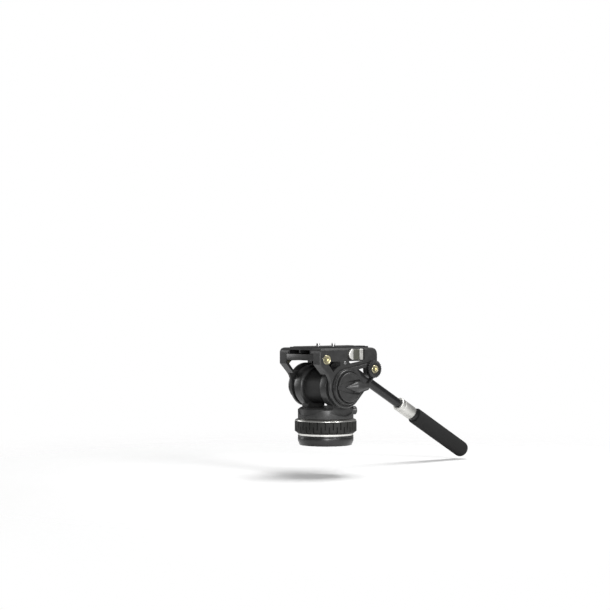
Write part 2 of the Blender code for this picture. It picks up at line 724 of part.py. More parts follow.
def tear_outline():
    """The raised field round the hub that runs back to the rosette."""
    hub = (0.0, TILT_Z)
    rosette = (ROSETTE_Y, ROSETTE_Z)
    high = tangent(hub, TEAR_R, rosette, TEAR_END_R, True)
    low = tangent(hub, TEAR_R, rosette, TEAR_END_R, False)
    points = arc(hub, TEAR_R, high, 360.0 + low)
    return points + arc(rosette, TEAR_END_R, low, high)


def front_window(side):
    """The opening between post, rail, web and hub."""
    top = RAIL_BOTTOM - WINDOW_TOP_GAP
    web = screw_y(side) - WEB_HALF
    start = math.degrees(math.acos(web / WINDOW_ARC_R))
    low = (FRONT_WINDOW_LOW_Y, FRONT_WINDOW_LOW_Z)
    stop = math.degrees(math.atan2(low[1] - TILT_Z, low[0]))
    points = [(FRONT_WINDOW_TOP_Y, top), (web, top)]
    points += arc((0.0, TILT_Z), WINDOW_ARC_R, start, stop)
    points.append((FRONT_WINDOW_LEFT_Y, FRONT_WINDOW_LEFT_Z))
    return points


def slit_window(side):
    """The narrow wedge between the rail and the upper rib, which starts behind the web."""
    top = RAIL_BOTTOM - WINDOW_TOP_GAP
    tip = top - WINDOW_TOP_GAP
    web = screw_y(side) + WEB_HALF
    low = tip - (tip - SLIT_LOW_Z) * (SLIT_REAR - web) / (SLIT_REAR - SLIT_FRONT)
    return [(web, low), (SLIT_REAR, tip), (SLIT_REAR, top), (web, top)]


def rear_window():
    """The opening between hub, rib, rosette boss and rear strut."""
    hub = (0.0, TILT_Z)
    rosette = (ROSETTE_Y, ROSETTE_Z)
    touch = tangent(hub, CHEEK_HUB_R, rosette, ROSETTE_R, False)
    reach = math.hypot(RIB_START_Y, RIB_START_Z - TILT_Z)
    rib_end_y = ROSETTE_Y - BOSS_R
    rib_end_z = RIB_START_Z + RIB_SLOPE * (rib_end_y - RIB_START_Y)
    inner = CHEEK_HUB_R - STRUT_WIDTH
    spread = math.degrees(math.acos(inner / reach))
    start = touch + spread
    stop = math.degrees(math.atan2(RIB_START_Z - TILT_Z, RIB_START_Y))
    boss_low = ROSETTE_R - STRUT_WIDTH
    boss_stop = 360.0 + touch - math.degrees(math.acos(boss_low / BOSS_R))
    boss_start = math.degrees(math.atan2(rib_end_z - ROSETTE_Z, rib_end_y - ROSETTE_Y))
    points = arc(hub, reach, stop, start)
    return points + arc(rosette, BOSS_R, boss_stop, boss_start)


def inner_relief():
    """What is open inboard of a cheek below its rail, save for the front post."""
    far_y = RAIL_REAR + OVERRUN
    near_y = RAIL_FRONT - OVERRUN
    inner_y = RAIL_FRONT + POST_WIDTH
    return [
        (far_y, RAIL_BOTTOM), (inner_y, RAIL_BOTTOM), (inner_y, FRONT_WINDOW_LEFT_Z),
        (FRONT_WINDOW_LOW_Y, FRONT_WINDOW_LOW_Z), (near_y, POST_TOE_Z - POST_WIDTH / 2),
        (near_y, TILT_Z - CHEEK_HUB_R - OVERRUN), (far_y, TILT_Z - CHEEK_HUB_R - OVERRUN),
    ]


def post_pocket():
    """The hollow behind the walls of the front post, open inboard and into the front window."""
    run = STRUT_KNEE_Y - RAIL_FRONT
    fall = POST_BOTTOM - STRUT_KNEE_Z
    thick = POST_WALL * math.hypot(run, fall)
    front = RAIL_FRONT + POST_WALL
    front_z = POST_BOTTOM + (thick - fall * POST_WALL) / run
    low_y = RAIL_FRONT + (thick + run * (POST_BOTTOM - FRONT_WINDOW_LOW_Z)) / fall
    return [
        (front, RAIL_BOTTOM), (front, front_z), (low_y, FRONT_WINDOW_LOW_Z),
        (FRONT_WINDOW_LOW_Y, FRONT_WINDOW_LOW_Z), (FRONT_WINDOW_TOP_Y, RAIL_BOTTOM),
    ]


def thin_relief(side):
    """What is open behind the thin cheek, round its web, hub boss and rosette boss."""
    deep = CHEEK_OUT - ARM_WALL
    middle = screw_y(side)
    tool = side_prism(f"guide_thin_{word(side)}", inner_relief(), side, CHEEK_IN - OVERRUN, deep, None)
    web = [(middle - WEB_HALF, TILT_Z), (middle + WEB_HALF, TILT_Z),
           (middle + WEB_HALF, RAIL_BOTTOM + OVERRUN), (middle - WEB_HALF, RAIL_BOTTOM + OVERRUN)]
    cut(
        tool,
        side_prism(f"guide_web_{word(side)}", web, side, CHEEK_IN - 2 * OVERRUN, CHEEK_OUT, None),
        rod_guide(f"guide_hub_boss_{word(side)}", HUB_BOSS_R, CHEEK_IN - 2 * OVERRUN, CHEEK_OUT,
                  sideways(side, 0.0, TILT_Z)),
        rod_guide(f"guide_arm_boss_{word(side)}", ARM_BOSS_R, CHEEK_IN - 2 * OVERRUN, CHEEK_OUT,
                  sideways(side, ROSETTE_Y, ROSETTE_Z)),
    )
    return tool


def channel_section(side):
    """The dovetail channel and the seat of the platform, as seen from the front."""
    low = STRUT_KNEE_Z - OVERRUN
    seat = PLATFORM_BOTTOM - GAP
    lip = PLATFORM_TOP + GAP
    points = [
        (0.0, low), (POST_IN, low), (POST_IN, seat), (POST_IN, lip),
        (DOVETAIL_FOOT_HALF, lip), (RAIL_IN, RAIL_TOP), (RAIL_IN, RAIL_TOP + OVERRUN),
        (0.0, RAIL_TOP + OVERRUN),
    ]
    return [(side * x, z) for x, z in points]


def rail_chamfer_section(side):
    """The bevel along the rail's outer top edge."""
    points = [
        (CHEEK_OUT - RAIL_CHAMFER, RAIL_TOP + OVERRUN), (CHEEK_OUT - RAIL_CHAMFER, RAIL_TOP),
        (CHEEK_OUT, RAIL_TOP - RAIL_CHAMFER), (CHEEK_OUT + OVERRUN, RAIL_TOP - RAIL_CHAMFER),
        (CHEEK_OUT + OVERRUN, RAIL_TOP + OVERRUN),
    ]
    return [(side * x, z) for x, z in points]


def build_cheek(side):
    which = word(side)
    hub_frame = sideways(side, 0.0, TILT_Z)
    rosette_frame = sideways(side, ROSETTE_Y, ROSETTE_Z)
    front = RAIL_FRONT - OVERRUN
    rear = RAIL_REAR + OVERRUN
    cheek = side_prism(f"{which}_cheek", cheek_outline(), side, RAIL_IN - GAP, CHEEK_OUT, BLACK_PAINT,
                       edge=CHEEK_EDGE, pivot=TILT_AXIS)
    relief = side_prism(f"guide_relief_{which}", inner_relief(), side, RAIL_IN - OVERRUN, CHEEK_IN, None)
    channel = prism(f"guide_channel_{which}", channel_section(side), front, rear, None, "Y")
    bevel = prism(f"guide_bevel_{which}", rail_chamfer_section(side), front, rear, None, "Y")
    pocket = side_prism(f"guide_post_{which}", post_pocket(), side, RAIL_IN - OVERRUN,
                        CHEEK_OUT - POST_WALL, None)
    cut(cheek, relief, channel, bevel, pocket, thin_relief(side))
    tear = side_prism(f"guide_tear_{which}", tear_outline(), side, CHEEK_OUT - WEB_LAP, TEAR_OUT, None,
                      edge=CHEEK_EDGE / 2)
    cut(tear, rod_guide(f"guide_seat_{which}", ROSETTE_R + GAP, CHEEK_OUT - OVERRUN, TEAR_OUT + OVERRUN,
                        rosette_frame))
    combine(cheek, "UNION", tear)
    for label, outline in (("front", front_window(side)), ("slit", slit_window(side)),
                           ("rear", rear_window())):
        cut(cheek, side_prism(f"guide_{label}_{which}", outline, side, CHEEK_IN - OVERRUN,
                              TEAR_OUT + OVERRUN, None))
    cut(
        cheek,
        rod_guide(f"guide_shaft_{which}", SHAFT_R + GAP, CHEEK_IN - OVERRUN, TEAR_OUT + OVERRUN, hub_frame),
        rod_guide(f"guide_shank_{which}", ROSETTE_SHANK_R + GAP, CHEEK_OUT - ROSETTE_SHANK_LENGTH - GAP,
                  TEAR_OUT + OVERRUN, rosette_frame),
        rod_guide(f"guide_accessory_{which}", ACCESSORY_R + GAP, CHEEK_OUT - ACCESSORY_DEPTH - GAP,
                  CHEEK_OUT + OVERRUN, sideways(side, ACCESSORY_Y, ACCESSORY_Z)),
        rod_guide(f"guide_screw_{which}", CHEEK_SCREW_R + GAP, CHEEK_IN - OVERRUN, CHEEK_OUT + OVERRUN,
                  sideways(side, screw_y(side), CHEEK_SCREW_Z), FINE_STEPS),
    )
    if side > 0:
        cut_lock_recess(cheek)
    return cheek


def recess_outline():
    """The long round-ended pocket in the left rail that the lock lever folds into."""
    half = LOCK_HALF + RECESS_CLEAR
    centre = (RECESS_TIP_Y + half, LOCK_MID_Z)
    return arc(centre, half, 90.0, 270.0) + [
        (RECESS_REAR, LOCK_MID_Z - half), (RECESS_REAR, LOCK_MID_Z + half),
    ]


def cut_lock_recess(cheek):
    pivot = at_height(LOCK_PIVOT_X, LOCK_PIVOT_Y)
    pocket_back = JAW_BACK + JAW_TRAVEL + GAP
    cut(
        cheek,
        side_prism("guide_recess", recess_outline(), 1, RECESS_BACK, CHEEK_OUT + OVERRUN, None),
        rod_guide("guide_pin", LOCK_PIN_R + GAP, RAIL_BOTTOM - GAP, RAIL_TOP - 2 * GAP, pivot, FINE_STEPS),
        rod_guide("guide_pin_head", LOCK_PIN_HEAD_R + GAP, RAIL_BOTTOM - LOCK_PIN_HEAD_H - 2 * GAP,
                  RAIL_BOTTOM, pivot, FINE_STEPS),
        prism("guide_jaw_pocket", [
            (RAIL_IN - OVERRUN, PLATFORM_TOP + GAP / 2), (pocket_back, PLATFORM_TOP + GAP / 2),
            (pocket_back, JAW_TOP + GAP), (RAIL_IN - OVERRUN, JAW_TOP + GAP),
        ], JAW_FRONT - GAP, JAW_REAR + GAP, None, "Y"),
        rod_guide("guide_stem", JAW_STEM_R + GAP, JAW_BACK, RECESS_BACK + OVERRUN / 2,
                  sideways(1, LOCK_PIVOT_Y, JAW_STEM_Z), FINE_STEPS),
    )


def hexagon(y, z, radius):
    """A six-sided key socket on the side view."""
    corners = [polar(radius, 360.0 * i / HEX_SIDES) for i in range(HEX_SIDES)]
    return [(y + corner[0], z + corner[1]) for corner in corners]


def build_side_fittings(side):
    """Rosette, brass pieces, cheek screw and round cover of one side."""
    which = word(side)
    rosette_frame = sideways(side, ROSETTE_Y, ROSETTE_Z)
    seat = CHEEK_OUT + GAP
    rosette = turned(f"{which}_rosette", [
        (ROSETTE_PLUG_R + GAP, seat), (ROSETTE_R, seat), (ROSETTE_R, ROSETTE_OUT),
        (ROSETTE_PLUG_R + GAP, ROSETTE_OUT),
    ], DARK_METAL, rosette_frame, MIDDLE_STEPS, ROSETTE_AXIS)
    cut_teeth(rosette, side)
    shank_end = CHEEK_OUT - ROSETTE_SHANK_LENGTH
    if side > 0:
        plug = turned("left_rosette_plug", [
            (0.0, shank_end), (ROSETTE_SHANK_R, shank_end), (ROSETTE_SHANK_R, seat),
            (ROSETTE_PLUG_R, seat), (ROSETTE_PLUG_R, ROSETTE_OUT), (0.0, ROSETTE_OUT),
        ], BRASS, rosette_frame, SMALL_STEPS, ROSETTE_AXIS)
        cut(plug, side_prism("guide_plug_hex", hexagon(ROSETTE_Y, ROSETTE_Z, HEX_R), 1,
                             ROSETTE_OUT - HEX_DEPTH, ROSETTE_OUT + OVERRUN, None))
    else:
        turned("right_rosette_bush", [
            (ROSETTE_SHANK_R, seat), (ROSETTE_PLUG_R, seat), (ROSETTE_PLUG_R, ROSETTE_OUT),
            (ROSETTE_SHANK_R, ROSETTE_OUT),
        ], BRASS, rosette_frame, SMALL_STEPS, ROSETTE_AXIS)
    bush_in = CHEEK_OUT - ACCESSORY_DEPTH
    bush_out = CHEEK_OUT + ACCESSORY_PROUD
    bush = turned(f"{which}_accessory_bush", [
        (0.0, bush_in), (ACCESSORY_R, bush_in), (ACCESSORY_R, bush_out), (0.0, bush_out),
    ], BRASS, sideways(side, ACCESSORY_Y, ACCESSORY_Z), SMALL_STEPS, TILT_AXIS)
    cut(bush, side_prism(f"guide_hex_{which}", hexagon(ACCESSORY_Y, ACCESSORY_Z, HEX_R), side,
                         bush_out - HEX_DEPTH, bush_out + OVERRUN, None))
    head_in = CHEEK_OUT + GAP
    head_out = head_in + CHEEK_SCREW_HEAD_H
    tip = head_in - CHEEK_SCREW_LENGTH
    turned(f"{which}_cheek_screw", [
        (0.0, tip), (CHEEK_SCREW_R, tip), (CHEEK_SCREW_R, head_in), (CHEEK_SCREW_HEAD_R, head_in),
        (CHEEK_SCREW_HEAD_R, head_out), (0.0, head_out),
    ], STEEL, sideways(side, screw_y(side), CHEEK_SCREW_Z), FINE_STEPS, TILT_AXIS)
    turned(f"{which}_side_cover", [
        (DIAL_SPIGOT_R + GAP, TEAR_OUT + GAP), (COVER_BASE_R, TEAR_OUT + GAP),
        (COVER_TOP_R, COVER_OUT), (DIAL_SPIGOT_R + GAP, COVER_OUT),
    ], BLACK_PAINT, sideways(side, 0.0, TILT_Z), MIDDLE_STEPS, TILT_AXIS)


def cut_teeth(rosette, side):
    """Radial notches in the outer face of a rosette."""
    bm = bmesh.new()
    notch = ROSETTE_TOOTH * math.sqrt(2)
    for i in range(ROSETTE_TEETH):
        turn = Matrix.Rotation(math.tau * i / ROSETTE_TEETH, 4, "Z")
        bar = bmesh.ops.create_cube(bm, size=1.0)["verts"]
        middle = (ROSETTE_R + ROSETTE_PLUG_R + GAP) / 2
        fit = Matrix.Diagonal((ROSETTE_R - ROSETTE_PLUG_R, notch, notch, 1.0))
        tip = Matrix.Translation((middle + WEB_LAP, 0.0, ROSETTE_OUT)) @ Matrix.Rotation(math.pi / 4, 4, "X")
        bmesh.ops.transform(bm, matrix=turn @ tip @ fit, verts=bar)
    mesh = close_up(bm, f"guide_teeth_{word(side)}")
    mesh.transform(sideways(side, ROSETTE_Y, ROSETTE_Z))
    cut(rosette, place(mesh.name, mesh, None, FRONT_LOW))


# Platform: the cross piece that ties the cheeks and carries the plate
def build_platform():
    half = POST_IN - GAP
    front = RAIL_FRONT + GAP
    platform = prism("cradle_platform", [
        (-half, PLATFORM_BOTTOM), (half, PLATFORM_BOTTOM), (half, PLATFORM_TOP), (-half, PLATFORM_TOP),
    ], front, PLATFORM_REAR, BLACK_PAINT, "Y", pivot=TILT_AXIS)
    pocket = prism("guide_pocket", [
        (-half + POCKET_WALL, front + POCKET_WALL), (half - POCKET_WALL, front + POCKET_WALL),
        (half - POCKET_WALL, PLATFORM_REAR - POCKET_WALL), (-half + POCKET_WALL, PLATFORM_REAR - POCKET_WALL),
    ], PLATFORM_BOTTOM - OVERRUN, PLATFORM_TOP - POCKET_ROOF, None, "Z")
    cut(platform, pocket)
    for side in (1, -1):
        lug_front = screw_y(side) - LUG_HALF
        lug_rear = screw_y(side) + LUG_HALF
        lug = side_prism(f"guide_lug_{word(side)}", [
            (lug_front, LUG_BOTTOM), (lug_rear, LUG_BOTTOM),
            (lug_rear, RAIL_BOTTOM - GAP), (lug_front, RAIL_BOTTOM - GAP),
        ], side, POST_IN - POCKET_WALL / 2, CHEEK_IN - GAP, None)
        neck = side_prism(f"guide_neck_{word(side)}", [
            (lug_front, LUG_BOTTOM), (lug_rear, LUG_BOTTOM),
            (lug_rear, PLATFORM_BOTTOM + WEB_LAP), (lug_front, PLATFORM_BOTTOM + WEB_LAP),
        ], side, POST_IN - POCKET_WALL / 2, half - GAP, None)
        hole = rod_guide(f"guide_lug_hole_{word(side)}", CHEEK_SCREW_R + GAP,
                         CHEEK_OUT - CHEEK_SCREW_LENGTH, CHEEK_IN + OVERRUN,
                         sideways(side, screw_y(side), CHEEK_SCREW_Z), FINE_STEPS)
        combine(platform, "UNION", lug)
        combine(platform, "UNION", neck)
        cut(platform, hole)
    along = sideways(1, 0.0, TILT_Z)
    turned("tilt_shaft", [
        (0.0, -TEAR_OUT), (SHAFT_R, -TEAR_OUT), (SHAFT_R, TEAR_OUT), (0.0, TEAR_OUT),
    ], STEEL, along, SMALL_STEPS, TILT_AXIS)


# Tilt lock on the left and tilt drag dial on the right
def lever_outline():
    """The boat-shaped finger bar across the dial, whose tail reaches back past it."""
    edge = [
        (-LEVER_NOSE, LEVER_NOSE_HALF), (0.0, LEVER_WAIST_HALF), (DIAL_R / 2, LEVER_BELLY_HALF),
        (DIAL_R, LEVER_BELLY_HALF), (LEVER_TAIL - LEVER_TIP_HALF, LEVER_TIP_HALF),
    ]
    top = [(y, TILT_Z + half) for y, half in edge]
    tip = arc((LEVER_TAIL - LEVER_TIP_HALF, TILT_Z), LEVER_TIP_HALF, 90.0, -90.0)[1:-1]
    bottom = [(y, TILT_Z - half) for y, half in reversed(edge)]
    return top + tip + bottom


def build_tilt_controls():
    face = COVER_OUT + GAP
    rim = face + DIAL_THICK
    spigot = TEAR_OUT + GAP
    lever = turned("tilt_lock_lever", [
        (0.0, spigot), (DIAL_SPIGOT_R, spigot), (DIAL_SPIGOT_R, face), (DIAL_R, face), (DIAL_R, rim),
        (DIAL_R - DIAL_RIM, rim), (DIAL_R - 2 * DIAL_RIM, rim - DIAL_DISH), (0.0, rim - DIAL_DISH),
    ], BLACK_PAINT, sideways(1, 0.0, TILT_Z), MIDDLE_STEPS, TILT_AXIS)
    bar = side_prism("guide_finger_bar", lever_outline(), 1, face + GAP, face + LEVER_HEIGHT, None,
                     edge=LEVER_EDGE)
    combine(lever, "UNION", bar)
    dial = turned("tilt_drag_dial", [
        (0.0, spigot), (DIAL_SPIGOT_R, spigot), (DIAL_SPIGOT_R, face), (DRAG_DIAL_R, face),
        (DRAG_DIAL_R, DRAG_DIAL_OUT - DIAL_RIM), (DRAG_DIAL_R - DIAL_RIM, DRAG_DIAL_OUT), (0.0, DRAG_DIAL_OUT),
    ], BLACK_PAINT, sideways(-1, 0.0, TILT_Z), MIDDLE_STEPS, TILT_AXIS)
    for i in range(DRAG_DIAL_SCALLOPS):
        y, z = polar(DRAG_DIAL_R + SCALLOP_R / 2, 360.0 * i / DRAG_DIAL_SCALLOPS)
        cut(dial, rod_guide(f"guide_scallop_{i}", SCALLOP_R, face + DIAL_RIM, DRAG_DIAL_OUT + OVERRUN,
                            sideways(-1, y, TILT_Z + z), FINE_STEPS))


# Quick release plate, its pads and camera screws
def plate_section():
    """The end view of the plate: dovetail flanks over a hollow underside with a middle rib."""
    foot = PLATFORM_TOP + GAP
    roof = PLATE_TOP - PLATE_SKIN
    rib_low = foot + PLATE_RIB_LIFT
    leg = PLATE_FOOT_HALF - PLATE_LEG
    neck = RAIL_IN - GAP
    right = [
        (PLATE_RIB_HALF, rib_low), (PLATE_RIB_HALF, roof), (leg, roof), (leg, foot),
        (PLATE_FOOT_HALF, foot), (neck, RAIL_TOP), (neck, PLATE_TOP),
    ]
    return right + [(-x, z) for x, z in reversed(right)]


def slot_outline():
    """The long screw slot, on the plan."""
    rear = arc((0.0, SLOT_REAR), SLOT_HALF, 0.0, 180.0)
    return rear + arc((0.0, SLOT_FRONT), SLOT_HALF, 180.0, 360.0)


def box_outline(x_low, x_high, y_low, y_high):
    """A rectangle on the plan."""
    return [(x_low, y_low), (x_high, y_low), (x_high, y_high), (x_low, y_high)]


def build_plate():
    pivot = Vector((0.0, 0.0, PLATE_TOP))
    roof = PLATE_TOP - PLATE_SKIN
    plate = prism("quick_release_plate", plate_section(), PLATE_FRONT, PLATE_REAR, DARK_METAL, "Y", pivot=pivot)
    head = CAMERA_SCREW_HEAD_R + GAP
    slot = prism("guide_slot", slot_outline(), roof - OVERRUN, PLATE_TOP + OVERRUN, None, "Z")
    rib_gap = prism("guide_rib_gap", box_outline(-head, head, SLOT_FRONT - head, SLOT_REAR + head),
                    PLATFORM_TOP, roof - GAP / 2, None, "Z")
    cut(plate, slot, rib_gap)
    low = PLATE_TOP - PAD_SINK
    for side in (1, -1):
        near, far = sorted((side * PAD_IN, side * PAD_OUT))
        bed = box_outline(near - GAP, far + GAP, PLATE_FRONT + PAD_MARGIN - GAP, PLATE_REAR - PAD_MARGIN + GAP)
        cut(plate, prism(f"guide_bed_{word(side)}", bed, low - GAP, PLATE_TOP + OVERRUN, None, "Z"))
        strip = box_outline(near, far, PLATE_FRONT + PAD_MARGIN, PLATE_REAR - PAD_MARGIN)
        prism(f"{word(side)}_plate_pad", strip, low, low + PAD_THICK, RUBBER, "Z", pivot=pivot)
    head_top = roof - GAP
    reach = PLATE_TOP + CAMERA_SCREW_REACH
    for place_name, sign in (("front", -1), ("rear", 1)):
        y = sign * CAMERA_SCREW_SPACING / 2
        turned(f"{place_name}_camera_screw", [
            (0.0, head_top - CAMERA_SCREW_HEAD_H), (CAMERA_SCREW_HEAD_R, head_top - CAMERA_SCREW_HEAD_H),
            (CAMERA_SCREW_HEAD_R, head_top), (CAMERA_SCREW_R, head_top), (CAMERA_SCREW_R, reach), (0.0, reach),
        ], STEEL, at_height(0.0, y), SMALL_STEPS, Vector((0.0, y, PLATE_TOP)))


# Plate lock: a folding lever that draws a jaw against the plate
def build_plate_lock():
    slope = (DOVETAIL_FOOT_HALF - RAIL_IN) / (RAIL_TOP - PLATFORM_TOP - GAP)
    foot = PLATFORM_TOP + 2 * GAP
    low_x = DOVETAIL_FOOT_HALF - slope * (foot - PLATFORM_TOP - GAP)
    high_x = DOVETAIL_FOOT_HALF - slope * (JAW_TOP - PLATFORM_TOP - GAP)
    jaw = prism("clamp_jaw", [(low_x, foot), (JAW_BACK, foot), (JAW_BACK, JAW_TOP), (high_x, JAW_TOP)],
                JAW_FRONT, JAW_REAR, DARK_METAL, "Y", pivot=TILT_AXIS)
    combine(jaw, "UNION", rod_guide("guide_jaw_stem", JAW_STEM_R, JAW_BACK - WEB_LAP, JAW_STEM_END,
                                    sideways(1, LOCK_PIVOT_Y, JAW_STEM_Z), FINE_STEPS))
    pivot = Vector((LOCK_PIVOT_X, LOCK_PIVOT_Y, LOCK_MID_Z))
    tip = (LOCK_TIP_Y + LOCK_HALF, LOCK_MID_Z)
    outline = arc(tip, LOCK_HALF, 90.0, 270.0) + [
        (LOCK_PIVOT_Y, LOCK_MID_Z - LOCK_HALF), (LOCK_PIVOT_Y, LOCK_MID_Z + LOCK_HALF),
    ]
    lever = side_prism("lock_lever", outline, 1, LOCK_ARM_IN, LOCK_ARM_OUT, SATIN_SILVER,
                       edge=LOCK_PAD_SINK, pivot=pivot)
    over = at_height(LOCK_PIVOT_X, LOCK_PIVOT_Y)
    low = LOCK_MID_Z - LOCK_HALF
    high = LOCK_MID_Z + LOCK_HALF
    combine(lever, "UNION", rod_guide("guide_barrel", LOCK_BARREL_R, low - GAP / 2, high + GAP / 2, over))
    cut(lever, rod_guide("guide_barrel_bore", LOCK_PIN_R + GAP, low - OVERRUN, high + OVERRUN, over, FINE_STEPS))
    pad_out = LOCK_ARM_OUT + LOCK_PAD_PROUD
    pad_in = LOCK_ARM_OUT - LOCK_PAD_SINK
    bed = box_outline(LOCK_PAD_FRONT - GAP, LOCK_PAD_REAR + GAP, low - OVERRUN, high + OVERRUN)
    cut(lever, side_prism("guide_pad_bed", bed, 1, pad_in - GAP, LOCK_ARM_OUT + OVERRUN, None))
    side_prism("lock_lever_pad", box_outline(LOCK_PAD_FRONT, LOCK_PAD_REAR, low + GAP, high - GAP), 1,
               pad_in, pad_out, RUBBER, pivot=pivot)
    head_low = RAIL_BOTTOM - GAP - LOCK_PIN_HEAD_H
    pin_top = RAIL_TOP - 3 * GAP
    turned("lock_lever_pin", [
        (0.0, head_low), (LOCK_PIN_HEAD_R, head_low), (LOCK_PIN_HEAD_R, head_low + LOCK_PIN_HEAD_H),
        (LOCK_PIN_R, head_low + LOCK_PIN_HEAD_H), (LOCK_PIN_R, pin_top), (0.0, pin_top),
    ], STEEL, over, FINE_STEPS, pivot)


# Handle: clamp on the right rosette, rod, telescopic sleeve, collar and grip
def build_handle():
    face = ROSETTE_OUT + GAP
    outer = -HANDLE_X + KNUCKLE_HALF
    touch_centre = (HANDLE_FOOT.y, HANDLE_FOOT.z)
    centre = (ROSETTE_Y, ROSETTE_Z)
    lean = 90.0 - HANDLE_DROP
    outline = arc(centre, ROSETTE_R, lean + 90.0, lean + 270.0)
    outline += [
        (touch_centre[0] + ROSETTE_R * math.cos(math.radians(lean - 90.0)),
         touch_centre[1] + ROSETTE_R * math.sin(math.radians(lean - 90.0))),
        (touch_centre[0] + ROSETTE_R * math.cos(math.radians(lean + 90.0)) / 3,
         touch_centre[1] + ROSETTE_R * math.sin(math.radians(lean + 90.0)) / 3),
    ]
    knuckle = side_prism("handle_clamp", outline, -1, face, outer, BLACK_PAINT, edge=CHEEK_EDGE,
                         pivot=ROSETTE_AXIS)
    socket = rod_guide("guide_socket", SOCKET_R, -SOCKET_FRONT, SOCKET_REAR, HANDLE_FRAME)
    combine(knuckle, "UNION", socket)
    bolt_frame = sideways(-1, ROSETTE_Y, ROSETTE_Z)
    cut(
        knuckle,
        rod_guide("guide_rod_bore", ROD_R + GAP, 0.0, SOCKET_REAR + OVERRUN, HANDLE_FRAME),
        rod_guide("guide_bolt_bore", CLAMP_BOLT_R + GAP, face - OVERRUN, outer + OVERRUN, bolt_frame),
        rod_guide("guide_face_room", ROSETTE_R + GAP, face - OVERRUN, face, bolt_frame),
    )
    knob_face = outer + GAP
    turned("handle_clamp_bolt", [
        (0.0, CLAMP_BOLT_END), (CLAMP_BOLT_R, CLAMP_BOLT_END), (CLAMP_BOLT_R, outer), (0.0, outer),
    ], STEEL, bolt_frame, SMALL_STEPS, ROSETTE_AXIS)
    stem = knob_face + CLAMP_KNOB_STEM
    knob = turned("handle_clamp_knob", [
        (0.0, knob_face), (CLAMP_KNOB_STEM_R, knob_face), (CLAMP_KNOB_STEM_R, stem + WEB_LAP),
        (0.0, stem + WEB_LAP),
    ], BLACK_PAINT, bolt_frame, SMALL_STEPS, ROSETTE_AXIS)
    lobes = scalloped(CLAMP_KNOB_R, 2 * SCALLOP_R, CLAMP_KNOB_LOBES, LOBE_STEPS)
    lobes = [(ROSETTE_Y + y, ROSETTE_Z + z) for y, z in lobes]
    combine(knob, "UNION", side_prism("guide_lobes", lobes, -1, stem, knob_face + CLAMP_KNOB_LENGTH, None,
                                      edge=CHEEK_EDGE))
    turned("handle_rod", [(0.0, GAP), (ROD_R, GAP), (ROD_R, ROD_LENGTH), (0.0, ROD_LENGTH)],
           DARK_METAL, HANDLE_FRAME, SMALL_STEPS, HANDLE_FOOT)
    build_grip()


def build_grip():
    bore = ROD_R + GAP
    nose = COLLAR_START + COLLAR_LIP
    turned("handle_sleeve", [
        (bore, nose + GAP), (SLEEVE_NOSE_R, nose + GAP), (SLEEVE_NOSE_R, COLLAR_END + GAP),
        (SLEEVE_R, COLLAR_END + GAP), (SLEEVE_R, SLEEVE_END), (bore, SLEEVE_END),
    ], BLACK_PAINT, HANDLE_FRAME, SMALL_STEPS, HANDLE_FOOT)
    turned("handle_collar", [
        (bore, COLLAR_START), (COLLAR_R - CHEEK_EDGE, COLLAR_START), (COLLAR_R, COLLAR_START + CHEEK_EDGE),
        (COLLAR_R, COLLAR_END), (SLEEVE_NOSE_R + GAP, COLLAR_END), (SLEEVE_NOSE_R + GAP, nose), (bore, nose),
    ], SATIN_SILVER, HANDLE_FRAME, SMALL_STEPS, HANDLE_FOOT)
    dome = arc((GRIP_R - GRIP_ROUND, GRIP_END - GRIP_ROUND), GRIP_ROUND, 0.0, 90.0)
    wall = SLEEVE_R + GAP
    turned("handle_grip", [(0.0, SLEEVE_END + GAP), (wall, SLEEVE_END + GAP), (wall, GRIP_START),
                           (GRIP_R - GRIP_LIP, GRIP_START), (GRIP_R, GRIP_START + GRIP_LIP)]
           + dome + [(0.0, GRIP_END)], FOAM, HANDLE_FRAME, SMALL_STEPS, HANDLE_FOOT)


build_base()
build_drag_ring()
build_pan_body()
build_pan_lock()
build_drum()
build_cheek(1)
build_cheek(-1)
build_side_fittings(1)
build_side_fittings(-1)
build_platform()
build_tilt_controls()
build_plate()
build_plate_lock()
build_handle()
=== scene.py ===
# %% [markdown]
# # A fluid video head, dressed for its portrait
# The solids of this head were drawn first, as plain engineering shapes, and they are loaded here as a fixed
# frame. This lesson lays finer pieces over them: turned rings with soft edges, cast cheeks, a ribbed rubber
# grip and a brass disc or two. Every piece then gets a finish made only of shader nodes.

# %% Load the frame
import math

import bmesh
import bpy
from mathutils import Matrix, Vector


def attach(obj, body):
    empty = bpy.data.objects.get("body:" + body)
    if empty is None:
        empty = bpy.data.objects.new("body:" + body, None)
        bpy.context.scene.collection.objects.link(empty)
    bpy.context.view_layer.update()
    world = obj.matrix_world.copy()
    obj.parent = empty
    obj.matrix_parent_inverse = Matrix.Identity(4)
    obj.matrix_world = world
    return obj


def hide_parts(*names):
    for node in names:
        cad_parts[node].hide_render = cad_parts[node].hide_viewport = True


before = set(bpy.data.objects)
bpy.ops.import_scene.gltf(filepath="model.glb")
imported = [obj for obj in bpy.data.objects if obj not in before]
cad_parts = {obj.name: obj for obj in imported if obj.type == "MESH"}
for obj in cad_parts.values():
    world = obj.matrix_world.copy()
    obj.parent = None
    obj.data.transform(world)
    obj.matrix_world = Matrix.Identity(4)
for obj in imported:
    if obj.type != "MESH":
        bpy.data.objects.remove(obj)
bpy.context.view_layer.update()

# %% [markdown]
# ## A few tools for mesh work
# Blender measures in metres, but a maker thinks of this head in millimetres. Each piece is built in millimetres
# and shrunk at the very end, which also keeps the Boolean solver away from tiny numbers. Most pieces of a head are
# turned on a lathe, and so are these: a handful of points is spun round an axis.

# %% Tools: soften and lathe
MM = 0.001
MERGE = 0.002  # points this close, in millimetres, are one point


def tidy(bm):
    """Weld doubled points and turn every face outwards."""
    bmesh.ops.remove_doubles(bm, verts=bm.verts, dist=MERGE)
    bmesh.ops.recalc_face_normals(bm, faces=bm.faces)
    return bm


